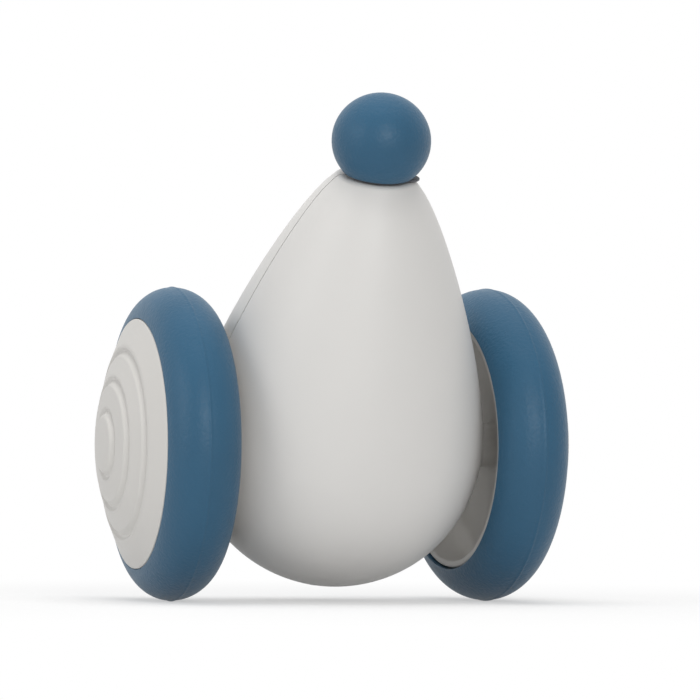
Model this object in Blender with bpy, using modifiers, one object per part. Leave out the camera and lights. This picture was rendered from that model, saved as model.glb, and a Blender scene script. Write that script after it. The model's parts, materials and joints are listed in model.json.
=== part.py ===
"""Robotic mouse cat toy: an egg-shaped body that stands nose-up between two large tyred wheels.

World frame: metres, +Z up, X along the axles, the front shell faces -Y.
The floor is at Z = 0 and the origin lies under the middle of the toy.
"""
import math

import bmesh
import bpy
from mathutils import Matrix, Vector

# Stance
LEAN_ANGLE = math.radians(25.0)
TOE_ANGLE = math.radians(3.5)
BODY_AXIS_FORWARD = 0.0015

# Gap left between pieces that seat on each other, and the overrun of a cutter past a face
FIT_GAP = 0.0003
CUT_OVERRUN = 0.002

# Wheels
TYRE_RADIUS = 0.0300
TYRE_SECTION_RADIUS = 0.0077
WHEEL_PLANE_X = 0.0317
HUB_RADIUS = 0.0235
HUB_HALF_WIDTH = 0.0070
HUB_WALL = 0.0013
HUB_WEB_WALL = 0.0014
HUB_WEB_U = 0.0015
HUB_BOWL_FILLET = 0.0030
HUB_RIB_HEIGHT = 0.0008
HUB_RIB_HALF_WIDTH = 0.0015
HUB_BOSS_RADIUS = 0.0042
HUB_BOSS_OUTER_HEIGHT = 0.0015
HUB_BODY_GAP = 0.0009
HUB_EDGE_RADIUS = 0.0003
TYRE_STEPS = 36
HUB_STEPS = 24

# Hub cover: a dome with three stepped rings
COVER_DOME_HEIGHT = 0.0068
COVER_WALL = 0.0013
COVER_EDGE = 0.0007
COVER_SKIRT_DEPTH = 0.0016
COVER_SKIRT_WALL = 0.0012
COVER_CREASE_SHARES = (0.7489, 0.5149, 0.2681)
COVER_CREASE_DEPTH = 0.0008
COVER_STEP_RISE = 0.0009
COVER_STEP_RUN = 0.0013
COVER_BULGE = 0.00015
COVER_STEP_SHARES = ((1.0, 1.0), (0.45, 0.75), (0.0, 0.0))

# Body: a turned egg split into two shells
BODY_RADIUS = 0.0281
BODY_BELLY = 0.0022
BODY_REAR_LENGTH = 0.0270
NOSE_LENGTH = 0.0545
NOSE_RIM_RADIUS = 0.0087
NOSE_RIM_ANGLE = math.radians(40.0)
NOSE_SEAT_RISE = 0.0016
NOSE_TIP_RISE = 0.0033
NOSE_TILT = math.radians(8.0)
BODY_WALL = 0.0014
PARTING_FORWARD = 0.0035
PARTING_GAP = 0.0003
REAR_POLE_SHARE = 0.46
REAR_BELLY_SHARE = 0.66
NOSE_BELLY_SHARE = 0.21
NOSE_TIP_SHARE = 0.22
BODY_STEPS = 32

# Unit of what the body holds, one millimetre at the sizes above, so that it keeps to the room inside
ROOM_UNIT = min(BODY_RADIUS / 28.1, BODY_REAR_LENGTH / 27.0)

# Nose ball, its washer and its stem
BALL_RADIUS = 0.0094
BALL_HALF_HEIGHT = 0.0091
BALL_RISE = 0.0076
BALL_WALL = 0.0013
COLLAR_THICKNESS = 0.0006
COLLAR_RADIUS = 0.0064
COLLAR_TAB_WIDTH = 0.0046
COLLAR_TAB_REACH = 0.0083
COLLAR_TAB_TURN = math.radians(-12.0)
STEM_RADIUS = 0.0022
STEM_HEAD_RADIUS = 0.0036
STEM_HEAD_HEIGHT = 0.0022
STEM_FLANGE_RADIUS = 0.0048
STEM_FLANGE_HEIGHT = 0.0012
BALL_STEPS = 22

# Drive train, stated along each axle from the middle of the body
AXLE_RADIUS = 1.5 * ROOM_UNIT
GEAR_MODULE = 0.6 * ROOM_UNIT
GEAR_PRESSURE_ANGLE = math.radians(20.0)
GEAR_ADDENDUM_SHARE = 0.80
GEAR_DEDENDUM_SHARE = 1.10
GEAR_BACKLASH = 0.22 * ROOM_UNIT
OUTPUT_TEETH = 28
IDLER_PINION_TEETH = 10
IDLER_GEAR_TEETH = 20
MOTOR_PINION_TEETH = 10
MOTOR_START_X = 1.1 * ROOM_UNIT
MOTOR_CAP_LENGTH = 1.6 * ROOM_UNIT
MOTOR_CAN_LENGTH = 10.6 * ROOM_UNIT
MOTOR_WIDTH = 15.5 * ROOM_UNIT
MOTOR_THICKNESS = 12.0 * ROOM_UNIT
MOTOR_EDGE_RADIUS = 1.5 * ROOM_UNIT
MOTOR_NOSE_RADIUS = 2.2 * ROOM_UNIT
MOTOR_NOSE_LENGTH = 0.8 * ROOM_UNIT
MOTOR_SHAFT_RADIUS = 0.5 * ROOM_UNIT
PLATE_THICKNESS = 1.2 * ROOM_UNIT
PLATE_MARGIN = 2.1 * ROOM_UNIT
GEAR_SIDE_GAP = 0.5 * ROOM_UNIT
IDLER_GEAR_WIDTH = 1.6 * ROOM_UNIT
OUTPUT_GEAR_WIDTH = 2.0 * ROOM_UNIT
IDLER_PIN_RADIUS = 0.7 * ROOM_UNIT
POST_RADIUS = 1.1 * ROOM_UNIT
BUSH_RADIUS = 2.7 * ROOM_UNIT
BUSH_FLANGE_RADIUS = 3.6 * ROOM_UNIT
BUSH_FLANGE_HEIGHT = 0.4 * ROOM_UNIT
SHAFT_BOSS_RADIUS = 4.6 * ROOM_UNIT
MOTOR_DROP = 11.4 * ROOM_UNIT
MOTOR_SETBACK = 5.1 * ROOM_UNIT

# Wheel screws
WHEEL_SCREW_RADIUS = 0.8 * ROOM_UNIT
WHEEL_SCREW_HEAD_RADIUS = 2.2 * ROOM_UNIT
WHEEL_SCREW_HEAD_HEIGHT = 1.2 * ROOM_UNIT
WHEEL_SCREW_REACH = 4.0 * ROOM_UNIT

# Electronics
BATTERY_WIDTH = 25.0 * ROOM_UNIT
BATTERY_LENGTH = 16.0 * ROOM_UNIT
BATTERY_THICKNESS = 7.0 * ROOM_UNIT
BATTERY_FRONT = BODY_AXIS_FORWARD + 8.3 * ROOM_UNIT
BATTERY_AXIAL = -7.0 * ROOM_UNIT
BATTERY_EDGE_RADIUS = 1.0 * ROOM_UNIT
BOARD_WIDTH = 16.0 * ROOM_UNIT
BOARD_LENGTH = 28.0 * ROOM_UNIT
BOARD_THICKNESS = 1.2 * ROOM_UNIT
BOARD_BACK = 17.9 * ROOM_UNIT
BOARD_AXIAL = 6.0 * ROOM_UNIT
BOARD_SCREW_ACROSS = 6.2 * ROOM_UNIT
BOARD_SCREW_AXIAL = 12.0 * ROOM_UNIT
BOARD_SCREW_RADIUS = 0.7 * ROOM_UNIT
BOARD_SCREW_REACH = 3.0 * ROOM_UNIT
BOARD_SCREW_HEAD_RADIUS = 1.5 * ROOM_UNIT
BOARD_SCREW_HEAD_HEIGHT = 0.8 * ROOM_UNIT
BOARD_BOSS_RADIUS = 1.8 * ROOM_UNIT
SWITCH_SIZE = 4.5 * ROOM_UNIT
SWITCH_HEIGHT = 1.8 * ROOM_UNIT
SWITCH_PLUNGER_HEIGHT = 0.3 * ROOM_UNIT
BUTTON_AXIAL = 3.1 * ROOM_UNIT
BUTTON_RADIUS = 4.0 * ROOM_UNIT
BUTTON_STEM_RADIUS = 1.4 * ROOM_UNIT
BUTTON_FLANGE_RADIUS = 5.0 * ROOM_UNIT
BUTTON_FLANGE_HEIGHT = 0.8 * ROOM_UNIT
BUTTON_CLEARANCE = 0.4 * ROOM_UNIT
BUTTON_TRAVEL = 0.6 * ROOM_UNIT
BUTTON_GUIDE_DEPTH = 1.0 * ROOM_UNIT
BUTTON_CROWN_SHARE = 0.86
BUTTON_EDGE_DROP = 0.4 * ROOM_UNIT
CONTACT_GAP = 0.0001
BUTTON_PROUD = 0.5 * ROOM_UNIT
LIGHT_RADIUS = 1.2 * ROOM_UNIT
LIGHT_AXIAL = 10.0 * ROOM_UNIT
SOCKET_WIDTH = 9.0 * ROOM_UNIT
SOCKET_HEIGHT = 3.2 * ROOM_UNIT
SOCKET_WALL = 0.5 * ROOM_UNIT
SOCKET_AXIAL = 16.0 * ROOM_UNIT
SOCKET_RECESS = 0.6 * ROOM_UNIT
TONGUE_THICKNESS = 0.7 * ROOM_UNIT
TONGUE_WIDTH = 6.2 * ROOM_UNIT

# Tail socket at the rear pole
TAIL_SOCKET_RADIUS = 2.2 * ROOM_UNIT
TAIL_BORE_RADIUS = 1.2 * ROOM_UNIT
TAIL_SOCKET_DEPTH = 6.0 * ROOM_UNIT
TAIL_FLANGE_RADIUS = 3.6 * ROOM_UNIT
TAIL_FLANGE_HEIGHT = 1.0 * ROOM_UNIT

# Screws that close the shells, as places across and along the body
SHELL_SCREW_PLACES = [
    (across * ROOM_UNIT, along * ROOM_UNIT)
    for across, along in ((-12.5, 20.0), (12.5, 20.0), (-7.6, -22.2), (7.6, -22.2))
]
SHELL_SCREW_RADIUS = 0.8 * ROOM_UNIT
SHELL_SCREW_HEAD_RADIUS = 1.5 * ROOM_UNIT
SHELL_SCREW_HEAD_HEIGHT = 1.2 * ROOM_UNIT
SHELL_BOSS_RADIUS = 2.4 * ROOM_UNIT
SHELL_SCREW_GRIP = 4.5 * ROOM_UNIT
SHELL_SCREW_REACH = 4.0 * ROOM_UNIT
SCREW_CROWN_SHARE = 0.75

# Facets of small round pieces, and how near two points are taken as one
MERGE_DISTANCE = 0.000001
ROUND_STEPS = 14
SMALL_STEPS = 8

# Shares of a full turn for the posts round each axle, from the back over the top to the front
POST_TURN_SHARES = (-0.095, 0.18, 0.44)


def bezier(start, first, second, end, count):
    """Points of a cubic curve, without its last one."""
    points = []
    for index in range(count):
        t = index / count
        s = 1 - t
        weights = (s ** 3, 3 * s * s * t, 3 * s * t * t, t ** 3)
        corners = (start, first, second, end)
        points.append(
            tuple(sum(w * corner[axis] for w, corner in zip(weights, corners)) for axis in (0, 1))
        )
    return points


def arc(centre, radius, start, end, count):
    """Points of an arc from one angle to the other, both ends included."""
    step = (end - start) / count
    return [
        (
            centre[0] + radius * math.cos(start + step * index),
            centre[1] + radius * math.sin(start + step * index),
        )
        for index in range(count + 1)
    ]


def egg_side(nose_rows, rear_rows, offset=0.0):
    """The body's side as (radius, height) from the nose rim down to the rear pole, moved in by offset."""
    rim = (NOSE_RIM_RADIUS, NOSE_LENGTH)
    belly = (BODY_RADIUS, BODY_BELLY)
    pole = (0.0, -BODY_REAR_LENGTH)
    tip_handle = NOSE_TIP_SHARE * (NOSE_LENGTH - BODY_BELLY)
    belly_handle = NOSE_BELLY_SHARE * (NOSE_LENGTH - BODY_BELLY)
    rim_guide = (
        rim[0] + tip_handle * math.sin(NOSE_RIM_ANGLE),
        rim[1] - tip_handle * math.cos(NOSE_RIM_ANGLE),
    )
    side = bezier(rim, rim_guide, (belly[0], belly[1] + belly_handle), belly, nose_rows)
    rear_depth = BODY_REAR_LENGTH + BODY_BELLY
    side += bezier(
        belly,
        (belly[0], belly[1] - REAR_BELLY_SHARE * rear_depth),
        (REAR_POLE_SHARE * BODY_RADIUS, pole[1]),
        pole,
        rear_rows,
    )
    side.append(pole)
    if offset == 0.0:
        return side
    moved = []
    for index, point in enumerate(side):
        before = side[max(index - 1, 0)]
        after = side[min(index + 1, len(side) - 1)]
        run = Vector((after[0] - before[0], after[1] - before[1])).normalized()
        moved.append((max(point[0] + run[1] * offset, 0.0), point[1] - run[0] * offset))
    moved[-1] = (0.0, pole[1] + offset)
    return moved


def radius_at(side, height):
    """The side's radius at a height on the body's axis."""
    for upper, lower in zip(side, side[1:]):
        if lower[1] <= height <= upper[1]:
            share = (upper[1] - height) / (upper[1] - lower[1])
            return upper[0] + share * (lower[0] - upper[0])
    return 0.0


def height_at(side, radius):
    """The height on the body's axis where the rear of the side comes in to a radius."""
    for upper, lower in zip(reversed(side[:-1]), reversed(side)):
        if lower[0] <= radius <= upper[0]:
            share = (radius - lower[0]) / (upper[0] - lower[0])
            return lower[1] + share * (upper[1] - lower[1])
    return 0.0


# Places that follow from the sizes above
COVER_CREASE_RADII = [share * HUB_RADIUS for share in COVER_CREASE_SHARES]
OUTER_SIDE = egg_side(9, 6)
FINE_SIDE = egg_side(60, 40)
NOSE_SEAT_HEIGHT = NOSE_LENGTH + NOSE_SEAT_RISE
AXLE_HEIGHT = TYRE_RADIUS * math.cos(math.pi / TYRE_STEPS)
TYRE_REACH = (TYRE_RADIUS - TYRE_SECTION_RADIUS) * math.cos(TOE_ANGLE) + TYRE_SECTION_RADIUS
BALL_REACH = (
    BODY_AXIS_FORWARD + NOSE_SEAT_HEIGHT * math.sin(LEAN_ANGLE)
    + BALL_RISE * math.sin(LEAN_ANGLE - NOSE_TILT) + BALL_RADIUS
)
WHEEL_SETBACK = WHEEL_PLANE_X * math.sin(TOE_ANGLE)
AXLE_Y = (BALL_REACH - TYRE_REACH - WHEEL_SETBACK) / 2
BODY_SIDE = math.sqrt(
    BODY_RADIUS ** 2 - (BODY_AXIS_FORWARD + BODY_RADIUS * math.sin(TOE_ANGLE)) ** 2
)

CAN_START = MOTOR_START_X + MOTOR_CAP_LENGTH + FIT_GAP
CAN_END = CAN_START + MOTOR_CAN_LENGTH
PLATE_START = CAN_END + FIT_GAP
PLATE_END = PLATE_START + PLATE_THICKNESS
IDLER_START = PLATE_END + GEAR_SIDE_GAP
IDLER_END = IDLER_START + IDLER_GEAR_WIDTH
OUTPUT_START = IDLER_END + GEAR_SIDE_GAP
OUTPUT_END = OUTPUT_START + OUTPUT_GEAR_WIDTH
COVER_PLATE_START = OUTPUT_END + GEAR_SIDE_GAP
COVER_PLATE_END = COVER_PLATE_START + PLATE_THICKNESS
SHAFT_BOSS_START = COVER_PLATE_END + FIT_GAP
AXLE_BORE = AXLE_RADIUS + FIT_GAP
WEB_TOP = WHEEL_PLANE_X + HUB_WEB_U + HUB_WEB_WALL

OUTPUT_PITCH = GEAR_MODULE * OUTPUT_TEETH / 2
IDLER_PINION_PITCH = GEAR_MODULE * IDLER_PINION_TEETH / 2
IDLER_GEAR_PITCH = GEAR_MODULE * IDLER_GEAR_TEETH / 2
MOTOR_PINION_PITCH = GEAR_MODULE * MOTOR_PINION_TEETH / 2
ADDENDUM = GEAR_ADDENDUM_SHARE * GEAR_MODULE
OUTPUT_SPACING = OUTPUT_PITCH + IDLER_PINION_PITCH
IDLER_SPACING = IDLER_GEAR_PITCH + MOTOR_PINION_PITCH
MOTOR_DISTANCE = math.hypot(MOTOR_DROP, MOTOR_SETBACK)
MOTOR_PLACE = (MOTOR_SETBACK, -MOTOR_DROP)
MOTOR_DIRECTION = math.atan2(-MOTOR_DROP, MOTOR_SETBACK)
IDLER_TURN = math.acos(
    (OUTPUT_SPACING ** 2 + MOTOR_DISTANCE ** 2 - IDLER_SPACING ** 2)
    / (2 * OUTPUT_SPACING * MOTOR_DISTANCE)
)
IDLER_PLACE = (
    OUTPUT_SPACING * math.cos(MOTOR_DIRECTION - IDLER_TURN),
    OUTPUT_SPACING * math.sin(MOTOR_DIRECTION - IDLER_TURN),
)
POST_ORBIT = OUTPUT_PITCH + ADDENDUM + GEAR_SIDE_GAP + POST_RADIUS
POST_PLACES = [
    (
        POST_ORBIT * math.cos(2 * math.pi * share),
        POST_ORBIT * math.sin(2 * math.pi * share),
    )
    for share in POST_TURN_SHARES
]

BOARD_FACE = BOARD_BACK + BOARD_THICKNESS
SWITCH_TOP = BOARD_FACE + FIT_GAP + SWITCH_HEIGHT
BUTTON_TOP = radius_at(FINE_SIDE, BUTTON_AXIAL) + BUTTON_PROUD
BUTTON_GUIDE_START = BUTTON_TOP - BUTTON_PROUD - BODY_WALL - BUTTON_GUIDE_DEPTH


def remove_everything():
    for item in list(bpy.data.objects):
        bpy.data.objects.remove(item, do_unlink=True)


def new_collection(name):
    group = bpy.data.collections.new(name)
    bpy.context.scene.collection.children.link(group)
    return group


def finish(name, colour, roughness, metallic=0.0):
    """A plain Principled material."""
    made = bpy.data.materials.new(name)
    made.use_nodes = True
    shader = made.node_tree.nodes["Principled BSDF"]
    shader.inputs["Base Color"].default_value = (*colour, 1.0)
    shader.inputs["Roughness"].default_value = roughness
    shader.inputs["Metallic"].default_value = metallic
    return made


remove_everything()
PARTS = new_collection("mouse_cat_toy")
CUTTERS = new_collection("cutters")

SHELL_WHITE = finish("shell_white", (0.62, 0.61, 0.59), 0.45)
HUB_WHITE = finish("hub_white", (0.60, 0.59, 0.56), 0.5)
SOFT_BLUE = finish("soft_blue", (0.055, 0.125, 0.22), 0.6)
WASHER_GREY = finish("washer_grey", (0.10, 0.10, 0.11), 0.6)
STEEL = finish("steel", (0.55, 0.55, 0.56), 0.3, 1.0)
GEAR_WHITE = finish("gear_white", (0.70, 0.70, 0.66), 0.5)
FRAME_GREY = finish("frame_grey", (0.18, 0.18, 0.19), 0.6)
BRONZE = finish("bronze", (0.48, 0.33, 0.16), 0.4, 1.0)
FOIL = finish("battery_foil", (0.50, 0.50, 0.52), 0.4, 1.0)
BOARD_GREEN = finish("board_green", (0.03, 0.16, 0.07), 0.5)
BLACK = finish("black_plastic", (0.02, 0.02, 0.02), 0.5)
CLEAR = finish("light_guide", (0.80, 0.85, 0.80), 0.2)


def empty(name, parent, place, turn):
    made = bpy.data.objects.new(name, None)
    made.location = place
    made.rotation_euler = turn
    made.parent = parent
    PARTS.objects.link(made)
    return made


def place_mesh(name, mesh, parent, look, cutter):
    """An object for a mesh, either a part or a hidden cutter."""
    made = bpy.data.objects.new(name, mesh)
    made.parent = parent
    if cutter:
        made.hide_render = True
        made.display_type = "WIRE"
        CUTTERS.objects.link(made)
    else:
        mesh.materials.append(look)
        PARTS.objects.link(made)
    return made


def turned(name, profile, parent, look=None, steps=ROUND_STEPS, closed=False, turn=0.0, cutter=False):
    """A profile of (radius, height) points, outer side downwards, turned about the local Z axis."""
    mesh = bpy.data.meshes.new(name)
    edges = [(index, index + 1) for index in range(len(profile) - 1)]
    if closed:
        edges.append((len(profile) - 1, 0))
    mesh.from_pydata([(radius, 0.0, height) for radius, height in profile], edges, [])
    made = place_mesh(name, mesh, parent, look, cutter)
    made.rotation_euler = (0.0, 0.0, turn)
    screw = made.modifiers.new("turn", "SCREW")
    screw.axis = "Z"
    screw.angle = 2 * math.pi
    screw.steps = steps
    screw.render_steps = steps
    screw.use_merge_vertices = True
    screw.merge_threshold = MERGE_DISTANCE
    screw.use_smooth_shade = True
    return made


def rod(name, radius, start, end, parent, look=None, steps=ROUND_STEPS, place=(0.0, 0.0), cutter=False):
    """A round bar along the local Z axis."""
    profile = [(0.0, end), (radius, end), (radius, start), (0.0, start)]
    made = turned(name, profile, parent, look, steps, cutter=cutter)
    made.location = (place[0], place[1], 0.0)
    return made


def box(name, low, high, parent, look=None, edge=0.0, cutter=False):
    """A box between two corners, with rounded edges if an edge radius is given."""
    mesh = bpy.data.meshes.new(name)
    shape = bmesh.new()
    bmesh.ops.create_cube(shape, size=1.0)
    size = [high[axis] - low[axis] for axis in range(3)]
    middle = [(high[axis] + low[axis]) / 2 for axis in range(3)]
    bmesh.ops.scale(shape, vec=size, verts=shape.verts)
    bmesh.ops.translate(shape, vec=middle, verts=shape.verts)
    shape.to_mesh(mesh)
    shape.free()
    made = place_mesh(name, mesh, parent, look, cutter)
    if edge > 0.0:
        bevel = made.modifiers.new("edges", "BEVEL")
        bevel.width = edge
        bevel.segments = 2
    return made


def extruded(name, outlines, start, end, parent, look=None, place=(0.0, 0.0), turn=0.0, cutter=False):
    """A flat outline, with further outlines as its holes, raised along the local Z axis."""
    curve = bpy.data.curves.new(name, "CURVE")
    curve.dimensions = "2D"
    curve.fill_mode = "BOTH"
    curve.extrude = (end - start) / 2
    for outline in outlines:
        spline = curve.splines.new("POLY")
        spline.points.add(len(outline) - 1)
        for point, (x, y) in zip(spline.points, outline):
            point.co = (x, y, 0.0, 1.0)
        spline.use_cyclic_u = True
    guide = bpy.data.objects.new(name + "_outline", curve)
    PARTS.objects.link(guide)
    graph = bpy.context.evaluated_depsgraph_get()
    mesh = bpy.data.meshes.new_from_object(guide.evaluated_get(graph))
    bpy.data.objects.remove(guide, do_unlink=True)
    shape = bmesh.new()
    shape.from_mesh(mesh)
    bmesh.ops.remove_doubles(shape, verts=shape.verts, dist=MERGE_DISTANCE)
    bmesh.ops.translate(shape, vec=(0.0, 0.0, (start + end) / 2), verts=shape.verts)
    bmesh.ops.recalc_face_normals(shape, faces=shape.faces)
    shape.to_mesh(mesh)
    shape.free()
    mesh.name = name
    mesh.materials.clear()
    made = place_mesh(name, mesh, parent, look, cutter)
    made.location = (place[0], place[1], 0.0)
    made.rotation_euler = (0.0, 0.0, turn)
    return made


def combine(item, other, operation):
    """Join, cut or clip one object with another."""
    step = item.modifiers.new(other.name, "BOOLEAN")
    step.operation = operation
    step.object = other
    step.solver = "EXACT"


def combine_all(item, name, others, operation):
    """Join or cut an object with several others at once."""
    group = bpy.data.collections.new(name)
    CUTTERS.children.link(group)
    for other in others:
        CUTTERS.objects.unlink(other)
        group.objects.link(other)
    step = item.modifiers.new(name, "BOOLEAN")
    step.operation = operation
    step.operand_type = "COLLECTION"
    step.collection = group
    step.solver = "EXACT"


def circle(centre, radius, steps=ROUND_STEPS):
    return arc(centre, radius, 0.0, 2 * math.pi, steps)[:-1]


def hull(circles, steps=ROUND_STEPS):
    """The outline that a band stretched round some circles would take."""
    points = sorted(p for centre, radius in circles for p in circle(centre, radius, steps))
    chain = []
    for ordered in (points, points[::-1]):
        half = []
        for point in ordered:
            while len(half) > 1 and cross(half[-2], half[-1], point) <= 0.0:
                half.pop()
            half.append(point)
        chain += half[:-1]
    return chain


def cross(a, b, c):
    return (b[0] - a[0]) * (c[1] - a[1]) - (b[1] - a[1]) * (c[0] - a[0])


def gear_outline(teeth, clearance):
    """Involute teeth with one tooth centred on the local X axis, thinned by half of the clearance."""
    pitch = GEAR_MODULE * teeth / 2
    base = pitch * math.cos(GEAR_PRESSURE_ANGLE)
    root = pitch - GEAR_DEDENDUM_SHARE * GEAR_MODULE
    tip = pitch + ADDENDUM
    half_tooth = math.pi / (2 * teeth) - clearance / (4 * pitch)
    start = math.tan(GEAR_PRESSURE_ANGLE) - GEAR_PRESSURE_ANGLE

    def half_angle(radius):
        pressure = math.acos(min(base / radius, 1.0))
        return half_tooth + start - (math.tan(pressure) - pressure)

    flank = [(root, half_angle(max(root, base))), (tip, half_angle(tip))]
    outline = []
    for tooth in range(teeth):
        middle = 2 * math.pi * tooth / teeth
        for radius, spread in flank:
            outline.append((radius, middle - spread))
        for radius, spread in reversed(flank):
            outline.append((radius, middle + spread))
    return [(radius * math.cos(angle), radius * math.sin(angle)) for radius, angle in outline]


def meshed_turn(turn, teeth, other_teeth, direction):
    """The turn of a gear whose gap meets the tooth of a turned gear that lies in that direction."""
    return direction + math.pi + (math.pi - (turn - direction) * teeth) / other_teeth


# Frames: one on the body's axis, one facing back from it, one on the nose's seat and one on each axle
BODY_FRAME = empty(
    "body_frame", None, (0.0, AXLE_Y - BODY_AXIS_FORWARD, AXLE_HEIGHT), (LEAN_ANGLE, 0.0, 0.0)
)
BACK_FRAME = empty("back_frame", BODY_FRAME, (0.0, 0.0, 0.0), (-math.pi / 2, 0.0, 0.0))
NOSE_FRAME = empty("nose_frame", BODY_FRAME, (0.0, 0.0, NOSE_SEAT_HEIGHT), (-NOSE_TILT, 0.0, 0.0))


def drive_frame(name, hand):
    """A frame on an axle: local Z points out of the wheel and local Y points up."""
    outward = Vector((hand * math.cos(TOE_ANGLE), math.sin(TOE_ANGLE), 0.0))
    upward = Vector((0.0, 0.0, 1.0))
    sideways = upward.cross(outward)
    turn = Matrix((sideways, upward, outward)).transposed().to_euler()
    return empty(name, None, (0.0, AXLE_Y, AXLE_HEIGHT), turn)


def shell_blank(name, look):
    """The whole egg as a wall, with a socket hole at the rear and a tilted seat with a stem hole."""
    stem_hole = STEM_RADIUS + FIT_GAP
    pilot = stem_hole / 2
    tail_hole = TAIL_SOCKET_RADIUS + FIT_GAP
    ceiling = NOSE_LENGTH - BODY_WALL
    inner = [p for p in egg_side(6, 4, BODY_WALL) if p[0] > tail_hole and p[1] < ceiling - BODY_WALL]
    outer = [p for p in OUTER_SIDE if p[0] > tail_hole]
    fine_inner = egg_side(60, 40, BODY_WALL)
    tip = NOSE_LENGTH + NOSE_TIP_RISE
    profile = [(tail_hole, height_at(fine_inner, tail_hole))]
    profile += reversed(inner)
    profile += [(radius_at(fine_inner, ceiling), ceiling), (pilot, ceiling), (pilot, tip)]
    profile.append((NOSE_RIM_RADIUS - NOSE_TIP_RISE * math.tan(NOSE_RIM_ANGLE), tip))
    profile += outer
    profile.append((tail_hole, height_at(FINE_SIDE, tail_hole)))
    made = turned(name, profile, BODY_FRAME, look, BODY_STEPS, closed=True)
    reach = 2 * NOSE_RIM_RADIUS
    above = box(name + "_above_seat", [-reach, -reach, 0.0], [reach, reach, reach], NOSE_FRAME, cutter=True)
    spot_face = STEM_FLANGE_RADIUS + FIT_GAP
    hole = turned(
        name + "_stem_hole",
        [
            (0.0, CUT_OVERRUN),
            (stem_hole, CUT_OVERRUN),
            (stem_hole, -BODY_WALL),
            (spot_face, -BODY_WALL),
            (spot_face, -4 * BODY_WALL),
            (0.0, -4 * BODY_WALL),
        ],
        NOSE_FRAME,
        cutter=True,
    )
    combine_all(made, name + "_nose_cuts", [above, hole], "DIFFERENCE")
    return made


def shell_core():
    """A solid egg that ends half way into the wall, which clips the bosses inside the shells."""
    side = egg_side(6, 4, BODY_WALL / 2)
    profile = [(0.0, side[0][1])] + side
    return turned("shell_core", profile, BODY_FRAME, steps=BODY_STEPS, cutter=True)


def boss(name, core, radius, start, end, frame, place=(0.0, 0.0)):
    """A round boss that ends half way into the shell's wall."""
    made = rod(name, radius, start, end, frame, place=place, cutter=True)
    combine(made, core, "INTERSECT")
    return made


def half_box(name, side):
    """A box over the half of the body in front of (-1) or behind (1) the parting plane."""
    reach = NOSE_LENGTH + BODY_RADIUS
    face = -PARTING_FORWARD + side * -PARTING_GAP / 2
    low = [-reach, face if side > 0 else -reach, -reach]
    high = [reach, reach if side > 0 else face, reach]
    return box(name, low, high, BODY_FRAME, cutter=True)


def back_place(across, along):
    """A place on the back, as the back frame's own X and Y."""
    return (across, -along)


def stadium(width, height, steps=SMALL_STEPS):
    """An outline with two straight sides and round ends."""
    radius = height / 2
    reach = width / 2 - radius
    half = steps // 2
    right = arc((reach, 0.0), radius, -math.pi / 2, math.pi / 2, half)
    left = arc((-reach, 0.0), radius, math.pi / 2, 3 * math.pi / 2, half)
    return right + left


def make_front_shell(core):
    shell = shell_blank("front_shell", SHELL_WHITE)
    combine(shell, half_box("rear_half", 1), "DIFFERENCE")
    face = -PARTING_FORWARD - PARTING_GAP / 2
    hole = SHELL_SCREW_RADIUS + FIT_GAP
    depth = face - SHELL_SCREW_REACH - FIT_GAP
    bosses = []
    cuts = []
    for number, (across, along) in enumerate(SHELL_SCREW_PLACES, 1):
        place = back_place(across, along)
        bosses.append(boss("front_boss_%d" % number, core, SHELL_BOSS_RADIUS, -BODY_RADIUS, face,
                           BACK_FRAME, place))
        cuts.append(rod("front_boss_hole_%d" % number, hole, depth, face + CUT_OVERRUN, BACK_FRAME,
                        steps=SMALL_STEPS, place=place, cutter=True))
    combine_all(shell, "front_bosses", bosses, "UNION")
    combine_all(shell, "front_cuts", cuts, "DIFFERENCE")


def stepped_cut(name, narrow, start, shoulder, wide, end, frame, steps, place=(0.0, 0.0)):
    """A cutter for a hole that widens at its outer end."""
    profile = [(0.0, end), (wide, end), (wide, shoulder), (narrow, shoulder), (narrow, start), (0.0, start)]
    made = turned(name, profile, frame, steps=steps, cutter=True)
    made.location = (place[0], place[1], 0.0)
    return made


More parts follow.
